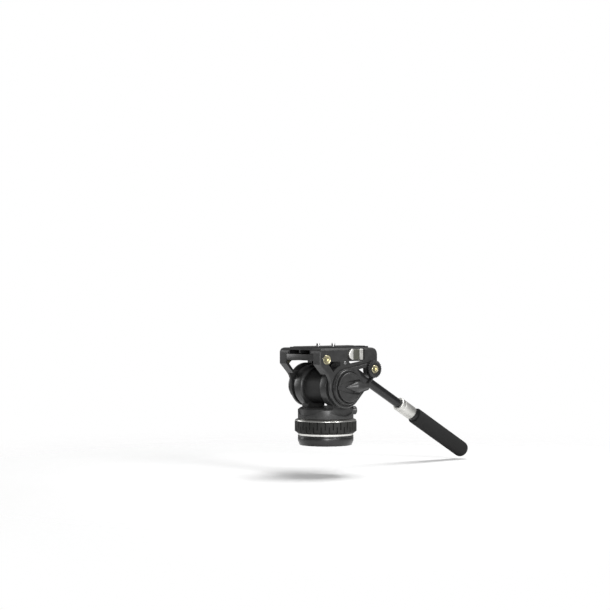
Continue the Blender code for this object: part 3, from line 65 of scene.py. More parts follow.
def soften(bm, width, segments=2, chosen=lambda edge: True, angle=28.0):
    """Round the sharp edges that the test chooses."""
    limit = math.radians(angle)
    sharp = [e for e in bm.edges if e.is_manifold and e.calc_face_angle(0.0) > limit and chosen(e)]
    bmesh.ops.bevel(bm, geom=sharp, offset=width, offset_type="OFFSET", segments=segments, profile=0.5,
                    affect="EDGES", material=-1, clamp_overlap=True)
    return bm


def lathe(profile, steps=112, soft=0.0, segments=2):
    """Spin pairs of radius and height round the Z axis."""
    bm = bmesh.new()
    points = [bmesh.ops.create_vert(bm, co=(radius, 0.0, height))["vert"][0] for radius, height in profile]
    edges = [bm.edges.new(pair) for pair in zip(points, points[1:])]
    if profile[0][0] > 0.0:
        edges.append(bm.edges.new((points[-1], points[0])))
    bmesh.ops.spin(bm, geom=points + edges, cent=(0, 0, 0), axis=(0, 0, 1), angle=math.tau, steps=steps,
                   use_merge=True)
    tidy(bm)
    return soften(bm, soft, segments) if soft else bm


print("turning tools ready")

# %% [markdown]
# A cast shape starts as an outline that is pulled up into a slab. Its corners are rounded while it is still flat,
# where a bevel can hardly fail. An arm between two bosses has the outline of a string pulled tight round them, so
# it is made by a convex hull, and so is any skin pulled tight round some points.

# %% Tools: slab, hull and wrap
def slab(corners, low, high, steps=6):
    """A slab from corners, each an x, a y and a rounding radius."""
    bm = bmesh.new()
    points = [bmesh.ops.create_vert(bm, co=(x, y, 0.0))["vert"][0] for x, y, _ in corners]
    edges = [bm.edges.new(pair) for pair in zip(points, points[1:] + points[:1])]
    bmesh.ops.contextual_create(bm, geom=edges)
    for i, (x, y, radius) in enumerate(corners):
        if radius:
            here = Vector((x, y))
            back = Vector(corners[i - 1][:2]) - here
            ahead = Vector(corners[(i + 1) % len(corners)][:2]) - here
            reach = radius / math.tan(back.angle(ahead) / 2)
            bmesh.ops.bevel(bm, geom=[points[i]], offset=reach, segments=steps, profile=0.5,
                            affect="VERTICES", material=-1)
    bmesh.ops.translate(bm, verts=bm.verts, vec=(0, 0, low))
    lifted = bmesh.ops.extrude_face_region(bm, geom=bm.faces[:])["geom"]
    bmesh.ops.translate(bm, verts=[v for v in lifted if isinstance(v, bmesh.types.BMVert)],
                        vec=(0, 0, high - low))
    return tidy(bm)


def hull(discs, low, high, steps=120):
    """The slab that a string pulled tight round some discs would outline."""
    bm = bmesh.new()
    for x, y, radius in discs:
        for height in (low, high):
            bmesh.ops.create_circle(bm, segments=steps, radius=radius,
                                    matrix=Matrix.Translation((x, y, height)))
    made = bmesh.ops.convex_hull(bm, input=bm.verts)
    bmesh.ops.delete(bm, geom=[v for v in made["geom_interior"] if isinstance(v, bmesh.types.BMVert)])
    bmesh.ops.dissolve_limit(bm, angle_limit=math.radians(1.0), verts=bm.verts, edges=bm.edges)
    return tidy(bm)


def wrap(bm):
    """The closed skin pulled tight round a shape's points."""
    bmesh.ops.delete(bm, geom=bm.edges[:], context="EDGES_FACES")
    inside = bmesh.ops.convex_hull(bm, input=bm.verts)["geom_interior"]
    bmesh.ops.delete(bm, geom=[v for v in inside if isinstance(v, bmesh.types.BMVert)])
    return tidy(bm)


print("casting tools ready")

# %% [markdown]
# Bars and boxes are mostly cutters. The cheeks, the levers and the dials are drawn as on a workshop drawing, in a
# view from the side, and a matrix for each side stands the flat shape up so that it faces outwards.

# %% Tools: bars, boxes and side views
SIDES = ((1, "left"), (-1, "right"))


def rod(radius, low, high, x=0.0, y=0.0, steps=48):
    """A plain round bar along Z."""
    bm = bmesh.new()
    centre = Matrix.Translation((x, y, (low + high) / 2))
    bmesh.ops.create_cone(bm, cap_ends=True, segments=steps, radius1=radius, radius2=radius, depth=high - low,
                          matrix=centre)
    return tidy(bm)


def block(x_low, x_high, y_low, y_high, z_low, z_high):
    """A plain box."""
    bm = bmesh.new()
    size = Matrix.Diagonal((x_high - x_low, y_high - y_low, z_high - z_low, 1.0))
    centre = Matrix.Translation(((x_low + x_high) / 2, (y_low + y_high) / 2, (z_low + z_high) / 2))
    bmesh.ops.create_cube(bm, size=1.0, matrix=centre @ size)
    return bm


def side_block(side, inner, outer, *rest):
    """A plain box on the chosen side, between two distances from the middle."""
    return block(*sorted((side * inner, side * outer)), *rest)


def evenly(count, radius, start=0.0):
    """Places spread evenly on a circle round the Z axis."""
    turns = [start + math.tau * i / count for i in range(count)]
    return [(radius * math.cos(turn), radius * math.sin(turn)) for turn in turns]


def moved(bm, matrix):
    """Carry a shape to its place."""
    bmesh.ops.transform(bm, matrix=matrix, verts=bm.verts)
    return tidy(bm)


SIDE_VIEW = {
    side: Matrix(((0, 0, side, 0), (1, 0, 0, 0), (0, 1, 0, 0), (0, 0, 0, 1))) for side, _ in SIDES
}


def on_side(bm, side, y=0.0, z=0.0):
    """Stand a flat shape on the side view: its X runs to the rear, its Y up and its Z out of that side."""
    return moved(bm, SIDE_VIEW[side] @ Matrix.Translation((y, z, 0.0)))


print("places on both sides:", ", ".join(which for _, which in SIDES))

# %% [markdown]
# ## Joining, cutting and finishing
# A Boolean modifier is how a machinist's cut is made here: each tool is a closed mesh that is taken away from, or
# joined to, the piece. The result is read back into a bmesh. A finished piece keeps its object at the origin, is
# shaded smooth up to a set angle, and is told which part of the head it rides on and which solid it stands for.

# %% Tools: carve and finish
def as_object(bm, name):
    """Hand a bmesh to a new object in the scene."""
    mesh = bpy.data.meshes.new(name)
    bm.to_mesh(mesh)
    bm.free()
    obj = bpy.data.objects.new(name, mesh)
    bpy.context.scene.collection.objects.link(obj)
    return obj


def carve(bm, *steps):
    """Apply cuts and joins in order, each an operation and the bmesh of its tool."""
    target = as_object(bm, "carving")
    tools = []
    for operation, tool in steps:
        tools.append(as_object(tool, "tool"))
        modifier = target.modifiers.new("step", "BOOLEAN")
        modifier.operation = operation
        modifier.solver = "EXACT"
        modifier.object = tools[-1]
    bpy.context.view_layer.update()
    seen = target.evaluated_get(bpy.context.evaluated_depsgraph_get())
    mesh = bpy.data.meshes.new_from_object(seen)
    result = bmesh.new()
    result.from_mesh(mesh)
    for obj in tools + [target]:
        bpy.data.objects.remove(obj, do_unlink=True)
    bpy.data.meshes.remove(mesh)
    bmesh.ops.dissolve_degenerate(result, dist=MERGE, edges=result.edges)
    return tidy(result)


def cuts(*tools):
    """Name each tool as a cut."""
    return [("DIFFERENCE", tool) for tool in tools]


def finished(bm, name, body, look, slot, *stands_for, smooth=33.0):
    """Shrink a piece to metres, give it its finish and hang it on the frame."""
    tidy(bm)
    bmesh.ops.scale(bm, vec=(MM, MM, MM), verts=bm.verts)
    obj = as_object(bm, name)
    obj.data.shade_smooth()
    obj.data.set_sharp_from_angle(angle=math.radians(smooth))
    obj.data.materials.append(look)
    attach(obj, body)
    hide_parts(*stands_for)
    print(f"{name}: {len(obj.data.polygons)} faces")


print("carving tools ready")

# %% [markdown]
# ## Shader maths that reads like maths
# A finish is a small graph of nodes. Wrapping a socket in a class lets the graph be written as a sum, which is
# easier to read than a list of links: the plus sign adds a Math node and the star adds another.

# %% Tools: wires
class Wire:
    """The output of a node, which takes part in sums like a number."""

    def __init__(self, look, socket):
        self.look = look
        self.socket = socket

    def maths(self, operation, first, second):
        return self.look.node("Math", {"operation": operation}, {0: first, 1: second})

    def __add__(self, other):
        return self.maths("ADD", self, other)

    __radd__ = __add__

    def __mul__(self, other):
        return self.maths("MULTIPLY", self, other)

    __rmul__ = __mul__

    def __sub__(self, other):
        return self.maths("SUBTRACT", self, other)

    def __rsub__(self, other):
        return self.maths("SUBTRACT", other, self)


print("wires can be added, multiplied and subtracted")

# %% [markdown]
# A finish holds one material. One method makes any node, and the others are the few recipes that all coats share:
# a place in millimetres, a noise, a ramp, a mix of two colours and a relief.

# %% Tools: finishes
class Finish:
    """One material, wired by name."""

    def __init__(self, name, **constants):
        self.material = bpy.data.materials.new(name)
        self.material.use_nodes = True
        self.tree = self.material.node_tree
        self.shader = self.tree.nodes["Principled BSDF"]
        for socket, value in constants.items():
            self.shader.inputs[socket.replace("_", " ")].default_value = value

    def node(self, kind, settings, inputs, output=0):
        made = self.tree.nodes.new("ShaderNode" + kind)
        for key, value in settings.items():
            setattr(made, key, value)
        for key, value in inputs.items():
            self.feed(made.inputs[key], value)
        return Wire(self, made.outputs[output])

    def feed(self, socket, value):
        if isinstance(value, Wire):
            self.tree.links.new(value.socket, socket)
        else:
            socket.default_value = value

    def set(self, **values):
        for socket, value in values.items():
            self.feed(self.shader.inputs[socket.replace("_", " ")], value)

    def place(self, centre=(0.0, 0.0, 0.0), turn=(0.0, 0.0, 0.0), stretch=(1.0, 1.0, 1.0)):
        """Object coordinates in millimetres, seen from a chosen centre and direction."""
        here = self.node("TexCoord", {}, {}, "Object")
        return self.node("Mapping", {"vector_type": "TEXTURE"}, {
            "Vector": here,
            "Location": tuple(c * MM for c in centre),
            "Rotation": turn,
            "Scale": tuple(MM * s for s in stretch),
        })

    def noise(self, where, size, detail=2.0, rough=0.5):
        """Soft random grey, whose blobs are about size millimetres wide."""
        return self.node("TexNoise", {}, {
            "Vector": where, "Scale": 1.0 / size, "Detail": detail, "Roughness": rough,
        }, "Fac")

    def ramp(self, value, low, high, start=0.0, stop=1.0):
        """A grey that runs from start to stop as the value goes from low to high."""
        return self.node("MapRange", {"clamp": True}, {
            "Value": value, "From Min": low, "From Max": high, "To Min": start, "To Max": stop,
        })

    def tint(self, share, first, second):
        """A mix of two colours."""
        colours = {0: share, 6: (*first, 1.0), 7: (*second, 1.0)}
        return self.node("Mix", {"data_type": "RGBA"}, colours, 2)

    def spread(self, share, colour, dark, pale):
        """A mix of a darker and a paler share of one colour."""
        return self.tint(share, *(tuple(min(1.0, c * part) for c in colour) for part in (dark, pale)))

    def ring_distance(self, where):
        """How far a place is from the local Z axis."""
        flat = self.node("VectorMath", {"operation": "MULTIPLY"}, {0: where, 1: (1.0, 1.0, 0.0)})
        return self.node("VectorMath", {"operation": "LENGTH"}, {0: flat}, "Value")

    def relief(self, height, depth, strength=1.0):
        """Raise and sink the surface by a height map; depth is in millimetres."""
        bump = self.node("Bump", {}, {"Strength": strength, "Distance": depth * MM, "Height": height})
        self.set(Normal=bump)


def speck(r, g, b):
    """A screen colour, from 0 to 255, as the linear light that a shader wants."""
    shares = (r / 255, g / 255, b / 255)
    return tuple(((c + 0.055) / 1.055) ** 2.4 if c > 0.04 else c / 12.92 for c in shares)


print("middle grey as linear light:", round(speck(128, 128, 128)[0], 3))

# %% [markdown]
# ## The coats and metals of this head
# Most of the head is cast metal under a satin black powder coat: nearly even in colour, slightly pebbled, and a
# little uneven in gloss. The same recipe with other numbers gives the darker anodised parts. Powder needs two
# scales of noise, a slow one for colour and a fine one for the pebbling.

# %% Finish: powder coat and anodising
def powder_coat(name, grey, gloss=0.42, pebble=0.30, depth=0.016):
    """Satin black paint on a casting."""
    look = Finish(name, IOR=1.5)
    where = look.place()
    slow = look.noise(where, 9.0, 3.0)
    fine = look.noise(where, pebble, 2.0, 0.6)
    cloudy = look.ramp(slow * 0.7 + fine * 0.3, 0.38, 0.62)
    look.set(Base_Color=look.spread(cloudy, speck(grey, grey, grey), 0.86, 1.22))
    worn = look.noise(where, 3.5, 3.0) * 0.6 + fine * 0.4
    look.set(Roughness=look.ramp(worn, 0.3, 0.7, gloss - 0.06, gloss + 0.08))
    look.relief(fine, depth, 0.6)
    return look.material


def anodised(name, grey, gloss, centre, turn):
    """Dark metal with the faint lines that a lathe tool leaves round it."""
    look = Finish(name, IOR=1.6, Metallic=0.35)
    where = look.place(centre, turn)
    lines = look.noise(look.place(centre, turn, (8.0, 8.0, 0.22)), 1.0, 2.0)
    slow = look.noise(where, 7.0, 3.0)
    look.set(Base_Color=look.spread(look.ramp(slow, 0.35, 0.65), speck(grey, grey, grey + 1), 0.85, 1.2))
    look.set(Roughness=look.ramp(lines * 0.6 + slow * 0.4, 0.3, 0.7, gloss - 0.07, gloss + 0.08))
    look.relief(lines, 0.012, 0.5)
    return look.material


QUARTER = math.pi / 2
TILT_Z = 81.6
HUB = (0.0, TILT_Z)
JOINT = (47.8, 105.6)
DISC = (-35.5, 120.1)
castings = powder_coat("powder_coat", 46, gloss=0.34)
controls = powder_coat("control_coat", 46, gloss=0.36, pebble=0.4)
base_coat = powder_coat("base_coat", 27, gloss=0.30)
tooth_coat = powder_coat("tooth_coat", 15, gloss=0.60, pebble=0.4)
# The drum's grey is its own dark coat plus painted shade: it is darker than the coat alone, standing for the shade
# that a camera on the plate casts on it.
drum_coat_and_shade = powder_coat("drum_coat_and_shade", 10, gloss=0.64, pebble=0.35)
plate_look = anodised("plate_anodising", 38, 0.34, (0, 0, TILT_Z), (0, QUARTER, 0))
hidden_dark = anodised("inner_dark", 34, 0.45, (0, 0, TILT_Z), (0, QUARTER, 0))
print("black finishes:", castings.name, controls.name, base_coat.name, tooth_coat.name, drum_coat_and_shade.name)

# %% [markdown]
# ## Bright metals
# The rings and the collar are satin silver with a warm cast, and the small discs are pale brass. Both were turned
# on a lathe, so the roughness follows rings round the piece's own axis: the distance from that axis, fed into a
# noise that is very long in every other direction, gives rings and nothing else.

# %% Finish: satin silver, pale brass and turned steel
def turned_metal(name, colour, gloss, centre, turn, ring=0.16, depth=0.006):
    """Bright metal faced on a lathe."""
    look = Finish(name, Metallic=1.0)
    where = look.place(centre, turn)
    far = look.ring_distance(where)
    height = look.node("SeparateXYZ", {}, {0: where}, "Z")
    spot = look.node("CombineXYZ", {}, {0: far, 1: 0.0, 2: height})
    rings = look.noise(spot, ring * 2.0, 3.0, 0.6)
    slow = look.noise(where, 5.0, 3.0)
    look.set(Base_Color=look.spread(look.ramp(rings * 0.4 + slow * 0.6, 0.35, 0.65), colour, 0.90, 1.06))
    look.set(Roughness=look.ramp(rings * 0.7 + slow * 0.3, 0.3, 0.7, gloss - 0.06, gloss + 0.08))
    look.relief(rings, depth, 0.5)
    return look.material


silver = (0.80, 0.795, 0.765)
brass = (0.76, 0.70, 0.46)
ring_silver = turned_metal("ring_silver", silver, 0.30, (0, 0, 0), (0, 0, 0))
side_brass = {
    (y, z): turned_metal(f"pale_brass_{label}", brass, 0.30, (0, y, z), (0, QUARTER, 0))
    for label, (y, z) in (("front", DISC), ("rear", JOINT))
}
steel_upright = turned_metal("steel_upright", (0.56, 0.56, 0.56), 0.32, (0, 0, 0), (0, 0, 0))
steel_across = turned_metal("steel_across", (0.30, 0.30, 0.30), 0.36, (0, 0, TILT_Z), (0, QUARTER, 0))
print("bright finishes:", ring_silver.name, steel_upright.name)

# %% [markdown]
# ## Rubber and foam
# Rubber is rough, with a fine grain from its mould, and the black of the ribbed ring is a touch warm. The handle's
# foam is rougher still, and has pores: a Voronoi texture gives the cells, and the distance from their middles,
# squeezed into a narrow ramp, gives small round pits.

# %% Finish: moulded rubber and grip foam
def moulded_rubber(name, colour, grain=0.5, depth=0.03, gloss=0.62):
    """Matte moulded rubber with a fine grain."""
    look = Finish(name, IOR=1.45)
    where = look.place()
    fine = look.noise(where, grain, 3.0, 0.65)
    slow = look.noise(where, 6.0, 2.0)
    look.set(Base_Color=look.spread(look.ramp(fine * 0.5 + slow * 0.5, 0.35, 0.65), speck(*colour), 0.8, 1.25))
    look.set(Roughness=look.ramp(fine, 0.3, 0.7, gloss - 0.06, gloss + 0.10))
    look.relief(fine, depth, 0.8)
    return look.material


def grip_foam(name, grey):
    """Dense closed-cell foam."""
    look = Finish(name, IOR=1.4, Specular_IOR_Level=0.3)
    where = look.place()
    cells = look.node("TexVoronoi", {"feature": "F1"}, {"Vector": where, "Scale": 1.9, "Randomness": 1.0},
                      "Distance")
    pores = look.ramp(cells, 0.05, 0.55)
    slow = look.noise(where, 5.0, 4.0, 0.6)
    look.set(Base_Color=look.spread(pores * 0.5 + slow * 0.5, speck(grey, grey, grey), 0.62, 1.22))
    look.set(Roughness=look.ramp(slow, 0.3, 0.7, 0.82, 0.95))
    look.relief(pores * 0.7 + slow * 0.3, 0.10, 0.8)
    return look.material


ring_rubber = moulded_rubber("ring_rubber", (22, 22, 20), gloss=0.70)
pad_rubber = moulded_rubber("pad_rubber", (46, 46, 46), grain=0.35, depth=0.05)
lock_rubber = moulded_rubber("lock_rubber", (66, 66, 58), grain=0.7, depth=0.10)
handle_foam = grip_foam("handle_foam", 31)
print("soft finishes:", ring_rubber.name, handle_foam.name)

# %% [markdown]
# ## The round base
# The base is one turning: a foot that flares outwards, a straight wall with one fine line cut into it, and a
# hollow for the spindle. One spin keeps them all truly round. Three screws hold the spindle's foot from below, so
# three round pockets are cut for their heads.

# %% Piece: round base
foot = lathe([(8.3, 0), (36.4, 0), (38.8, 6.3), (38.8, 11.0), (38.55, 11.2), (38.55, 11.5), (38.8, 11.7),
              (38.8, 13.4), (15.3, 13.4), (15.3, 6.0), (8.3, 6.0)], soft=0.2)
BASE_SCREWS = evenly(3, 11.7, QUARTER)
pockets = [rod(3.0, -1.0, 3.5, x, y) for x, y in BASE_SCREWS]
finished(carve(foot, *cuts(*pockets)), "round_base", "base", base_coat, "black_paint", "base_flange")

# %% [markdown]
# ## The pan drag ring
# A silver ring turns between base and body, and a rubber sleeve with upright ribs sits round it. The grooves
# between the ribs run from the bottom and from the top by turns. The sleeve is spun with four steps to a rib, and
# one step in four is pressed inwards: an extrusion that moves towards the axis.

# %% Piece: silver ring and its ribbed sleeve
finished(lathe([(34.0, 13.7), (38.4, 13.7), (38.4, 33.6), (42.8, 33.6), (42.8, 34.4), (42.3, 35.2),
                (41.1, 35.9), (38.4, 36.9), (34.0, 36.9)], 144, 0.22, 3),
         "silver_ring", "drag_ring", ring_silver, "satin_silver", "drag_ring_core")


def press_grooves(bm, count, depth, inner, covers):
    """Push chosen columns of faces towards the axis; covers says which heights a column takes."""
    columns = {}
    for face in bm.faces:
        middle = face.calc_center_median()
        if face.normal.xy.length < 0.5 or face.normal.xy.dot(middle.xy) < 0:
            continue
        column = int(math.atan2(middle.y, middle.x) % math.tau * count * 4 / math.tau)
        if column % 4 == 1 and covers(column // 4, middle.z):
            columns.setdefault(column, []).append(face)
    for faces in columns.values():
        lifted = bmesh.ops.extrude_face_region(bm, geom=faces)["geom"]
        bmesh.ops.delete(bm, geom=faces, context="FACES_ONLY")
        for vert in (v for v in lifted if isinstance(v, bmesh.types.BMVert)):
            reach = vert.co.xy.length
            vert.co.xy *= max(reach - depth, min(reach, inner)) / reach
    return tidy(bm)


RIBS = 48
RIB_FOOT, RIB_TOP = 22.7, 26.8
sleeve = lathe([(38.7, 16.2), (43.2, 19.6), (43.2, RIB_FOOT), (43.2, RIB_TOP), (43.2, 33.3), (38.7, 33.3)],
               RIBS * 4)
sleeve = press_grooves(sleeve, RIBS, 2.7, 38.75, lambda rib, z: z < RIB_TOP if rib % 2 else z > RIB_FOOT)
soften(sleeve, 0.16, 2)
finished(sleeve, "ribbed_sleeve", "drag_ring", ring_rubber, "rubber", "drag_ring_grip")

# %% [markdown]
# ## The pan body and its ears
# A turned disc carries two round ears, and the tilt axle passes through both. The disc's flanks are scooped where
# the cheeks swing past, and a shallow smile is milled across the front and the back. Each feature is its own
# simple shape, so the Boolean steps read like a machinist's order of work.

# %% Piece: pan body
def smile(front):
    """The shallow step above a curve that dips at the middle of one face of the disc."""
    shell = lathe([(37.7, 40.0), (44.0, 40.0), (44.0, 60.0), (37.7, 60.0)], 144)
    place = Matrix.Translation((0, 0, 87.7)) @ Matrix.Rotation(front * QUARTER, 4, "X")
    return carve(shell, ("INTERSECT", moved(rod(46.0, 0.0, 60.0, steps=160), place)))


disc = lathe([(16.3, 37.2), (38.8, 37.2), (38.8, 49.6), (35.0, 52.4), (15.1, 52.4), (15.1, 46.9), (12.5, 46.9),
              (12.5, 45.4), (16.3, 45.4)], 144, 0.3, 3)
order = cuts(smile(1), smile(-1))
for side, _ in SIDES:
    order += cuts(on_side(rod(40.6, 33.4, 44.0, steps=160), side, *HUB))
for side, _ in SIDES:
    ear = lathe([(9.3, 19.0), (27.2, 19.0), (29.3, 21.1), (29.3, 33.4), (9.3, 33.4)], 144, 0.3, 3)
    order += [("UNION", on_side(ear, side, *HUB)),
              ("UNION", soften(side_block(side, 19.2, 33.35, -15.0, 15.0, 46.0, 62.0), 0.5)),
              *cuts(on_side(rod(9.3, 15.0, 36.0), side, *HUB))]
finished(carve(disc, *order), "pan_block_casting", "pan_block", castings, "black_paint", "pan_body")

# %% [markdown]
# ## The fluid drum
# The drum between the ears holds the thick fluid that makes the tilt smooth. It is a dark turned tube with a
# fine groove near each end, and its finish is darker still, as painted shade from a camera on the plate above.
# It is spun upright and then stood on its side, since a profile is easier to read in its own axis.

# %% Piece: drum
tube = lathe([(21.6, -18.7), (24.1, -18.7), (24.4, -18.4), (24.4, -16.6), (24.1, -16.3), (24.1, -15.9),
              (24.4, -15.6), (24.4, 15.6), (24.1, 15.9), (24.1, 16.3), (24.4, 16.6), (24.4, 18.4), (24.1, 18.7),
              (21.6, 18.7)], 144)
finished(on_side(tube, 1, *HUB), "fluid_drum", "pan_block", drum_coat_and_shade, "dark_anodised", "drum_housing")

# %% [markdown]
# ## The cheeks
# Two cast cheeks hang the camera platform on the tilt axle. They are mirror images but for one pocket, and for
# the place of one screw and the web that it passes through. A cheek is joined from a rail with its front strut and
# from a hull round two discs, hub and rear joint. Everything below the rail is thin, so blocks are cut away behind
# it, and three windows go right through. A trench round a raised field runs along the arm's outer face. Cutting a
# few honest blocks is easier to change later than one clever outline.

# %% Tools: the cheek's outlines
HUB_R, JOINT_R = 29.3, 12.4
INNER, OUTER = 34.0, 43.5
RAIL_FOOT, RAIL_TOP = 117.5, 135.5
STRUT_TOP, STRUT_FOOT = (-32.5, 112.9), (-24.3, 103.4)
THROUGH = (30, 50)
FRONT_VIEW = Matrix(((1, 0, 0, 0), (0, 0, -1, 0), (0, 1, 0, 0), (0, 0, 0, 1)))


def front_section(side, corners):
    """A long bar along the head, whose end view has these corners on the chosen side."""
    return moved(slab([(side * x, z, radius) for x, z, radius in corners], -70.0, 70.0), FRONT_VIEW)


def lifted_rim(bm, width, top, segments=3):
    """Round only the edges that lie at one height of a slab."""
    return soften(bm, width, segments, lambda edge: all(abs(v.co.z - top) < 0.01 for v in edge.verts))


def window_front(web):
    """The window between the front strut, the hub and the web."""
    hole = slab([(-27.5, 117.3, 1.5), (*STRUT_TOP, 0.8), (*STRUT_FOOT, 0.8), (web, 90, 0), (web, 117.3, 1.0)],
                *THROUGH)
    return carve(hole, *cuts(rod(32.0, 20, 60, *HUB, steps=144)))


def window_slit(web):
    """The low wedge between the rail and the arm, behind the web."""
    low = 117.0 - 3.8 * (30 - web) / 25
    return slab([(web, low, 0.6), (30, 117.0, 0.15), (30, 117.3, 0.15), (web, 117.3, 0.6)], *THROUGH)


def window_rear():
    """The three-sided window between the hub, the rear joint and the arm above them."""
    hole = hull([(*HUB, HUB_R - 4.3), (*JOINT, JOINT_R - 4.3)], *THROUGH)
    above = slab([(0, 102.1, 0), (80, 115.7, 0), (80, 150, 0), (0, 150, 0)], 20, 60)
    return carve(hole, *cuts(rod(29.5, 20, 60, *HUB, steps=144), rod(13.0, 20, 60, *JOINT, steps=96), above))


print("windows planned: front, slit and rear")

# %% [markdown]
# The rim of each cheek is rounded before the joining, because rounding a finished Boolean shape asks too much of
# a bevel. The pocket in the left rail takes the plate's lock lever, folded flat.

# %% Piece: cheeks
SCREW_Y = {1: -3.0, -1: 12.0}
SCREW_Z = 114.8


def cheek(side, name):
    """One side frame, joined and cut in a machinist's order."""
    rail = slab([(-48, RAIL_TOP, 7), (-48, 113.7, 1.2), (-36, 101.4, 4), (-HUB_R, 93.8, 20), (-HUB_R, TILT_Z, 0),
                 (*HUB, 0), (*JOINT, 0), (58.4, 111.9, 0), (58.4, RAIL_TOP, 10)], 20.6, OUTER, 12)
    lifted_rim(rail, 1.15, OUTER, 1)
    plate = lifted_rim(hull([(*HUB, HUB_R), (*JOINT, JOINT_R)], INNER, OUTER, 160), 1.15, OUTER, 1)
    below = [(66, RAIL_FOOT, 0), (-32.5, RAIL_FOOT, 0), (*STRUT_TOP, 0), (*STRUT_FOOT, 0), (-56, 92.4, 0),
             (-56, 45, 0), (66, 45, 0)]
    behind = slab(below, 16, INNER)
    strut_hollow = slab([(-45, RAIL_FOOT, 0), (-45, 114.9, 0), (-33.8, 103.4, 0), (*STRUT_FOOT, 0),
                         (-27.5, RAIL_FOOT, 0)], 16, 40.5)
    web_front, web_rear = SCREW_Y[side] - 8, SCREW_Y[side] + 8
    web = slab([(web_front, 100, 0), (web_rear, 100, 0), (web_rear, 120, 0), (web_front, 120, 0)], 30, 45)
    thin = carve(slab(below, 33, 39.0),
                 *cuts(web, rod(20.0, 30, 45, *HUB, steps=144), rod(8.0, 30, 45, *JOINT)))
    trench = hull([(*HUB, 26.7), (*JOINT, 11.0)], 42.0, 50, 160)
    field = lifted_rim(hull([(*HUB, 25.0), (*JOINT, 9.5)], 41.5, 45.5, 160), 0.5, 45.5)
    collar = lathe([(6.9, 43.0), (7.8, 43.0), (7.8, 43.6), (7.5, 43.9), (6.9, 43.9)], 72)
    shape = carve(
        on_side(rail, side),
        ("UNION", on_side(plate, side)),
        *cuts(
            *(on_side(tool, side) for tool in (behind, strut_hollow, thin, trench)),
            front_section(side, [(0, 97.4, 0), (29, 97.4, 0), (29, 127.5, 0), (25.6, 127.5, 0),
                                 (20.9, RAIL_TOP, 0), (20.9, 141, 0), (0, 141, 0)]),
            front_section(side, [(40.7, 142, 0), (40.7, RAIL_TOP, 0), (OUTER, 132.7, 0), (50, 132.7, 0),
                                 (50, 142, 0)]),
        ),
        ("UNION", on_side(field, side)),
        *cuts(
            *(on_side(tool, side) for tool in (window_front(web_front), window_slit(web_rear), window_rear())),
            on_side(rod(6.9, 39.7, 46), side, *DISC),
            on_side(rod(12.7, OUTER, 47, steps=96), side, *JOINT),
            on_side(rod(6.3, 30, 47), side, *HUB),
        ),
        ("UNION", on_side(collar, side, *DISC)),
    )
    if side > 0:
        pocket = slab([(0.6, 118.6, 7.78), (33.8, 118.6, 0.6), (33.8, 134.2, 0.6), (0.6, 134.2, 7.78)],
                      36.6, 46, 10)
        shape = carve(shape, *cuts(on_side(pocket, side), block(18, 29.6, 5.7, 42.3, 127.35, 133.5)))
    finished(shape, name, "cradle", castings, "black_paint", name, smooth=30.0)


cheek(1, "left_cheek")
cheek(-1, "right_cheek")

# %% [markdown]
# ## Discs, screws and toothed joints on the cheeks
# Each rear joint is a toothed ring, on which the handle can be clamped at any angle. The teeth are radial, so the
# ring is spun with four steps to a tooth, and each step sinks its own share into the face and the rim. The front
# discs are pale brass plugs with a bare hexagon socket.

# %% Piece: toothed rings
TEETH = 24


def toothed_ring():
    """A flat ring with radial teeth on its face."""
    ring = lathe([(6.1, 43.8), (JOINT_R, 43.8), (JOINT_R, 49.6), (12.0, 50.5), (8.6, 50.5), (8.3, 50.1),
                  (6.1, 50.1)], TEETH * 4)
    for vert in ring.verts:
        step = round(math.atan2(vert.co.y, vert.co.x) % math.tau / math.tau * TEETH * 4) % 4
        fall = (0.0, 0.45, 0.9, 0.45)[step]
        if vert.co.z > 50.2:
            vert.co.z -= fall * vert.co.xy.length / JOINT_R
        if vert.co.xy.length > 11.5:
            vert.co.xy *= 1 - fall * 0.055
    return ring


for side, which in SIDES:
    finished(on_side(toothed_ring(), side, *JOINT), f"{which}_toothed_ring", "cradle", tooth_coat, "black_paint",
             f"{which}_rosette", smooth=20.0)

# %% [markdown]
# A small socket screw holds each cheek to the platform. A hexagon is a circle drawn with six steps, so one lathe
# shape and one six-sided bar make a socket head.

# %% Piece: brass discs and screws
def hexagon_bar(across, low, high):
    """A six-sided bar, measured across its flats."""
    return rod(across / math.sqrt(3), low, high, steps=6)


def brass_disc(radius, low, face):
    """A plug with a rounded rim, a faintly sunk face and a hexagon socket."""
    disc = lathe([(0, low), (radius, low), (radius, face - 0.35), (radius - 0.35, face), (radius - 1.1, face),
                  (radius - 1.3, face - 0.12), (0, face - 0.12)], 96)
    return carve(disc, *cuts(hexagon_bar(4.2, face - 1.4, face + 2)))


for side, which in SIDES:
    finished(on_side(brass_disc(6.6, 40.0, 44.0), side, *DISC), f"{which}_front_disc", "cradle",
             side_brass[DISC], "pale_brass", f"{which}_accessory_bush")
    screw = lathe([(0, 31.8), (1.5, 31.8), (1.5, 43.8), (2.3, 43.8), (2.3, 44.6), (1.8, 45.1), (0, 45.1)], 48)
    screw = carve(screw, *cuts(hexagon_bar(1.9, 44.2, 46)))
    finished(on_side(screw, side, SCREW_Y[side], SCREW_Z), f"{which}_socket_screw", "cradle", steel_across,
             "steel", f"{which}_cheek_screw")

plug = carve(brass_disc(5.75, 43.8, 50.5), ("UNION", rod(4.1, 37.5, 44.2)))
finished(on_side(plug, 1, *JOINT), "left_joint_plug", "cradle", side_brass[JOINT], "pale_brass",
         "left_rosette_plug")
finished(on_side(lathe([(4.1, 43.8), (5.75, 43.8), (5.75, 50.2), (5.45, 50.5), (4.1, 50.5)], 72), -1, *JOINT),
         "right_joint_bush", "cradle", side_brass[JOINT], "pale_brass", "right_rosette_bush")

# %% [markdown]
# ## The tilt lock and the tilt drag dial
# The lever on the left is a round dial with a boat-shaped finger bar. The bar rises from a sunk bed that is narrow
# in front and widens to the rear. Bed and bar are each a skin pulled tight round a few points or balls, which is
# quicker than drawing their slopes. The dial on the right has scallops for grip.

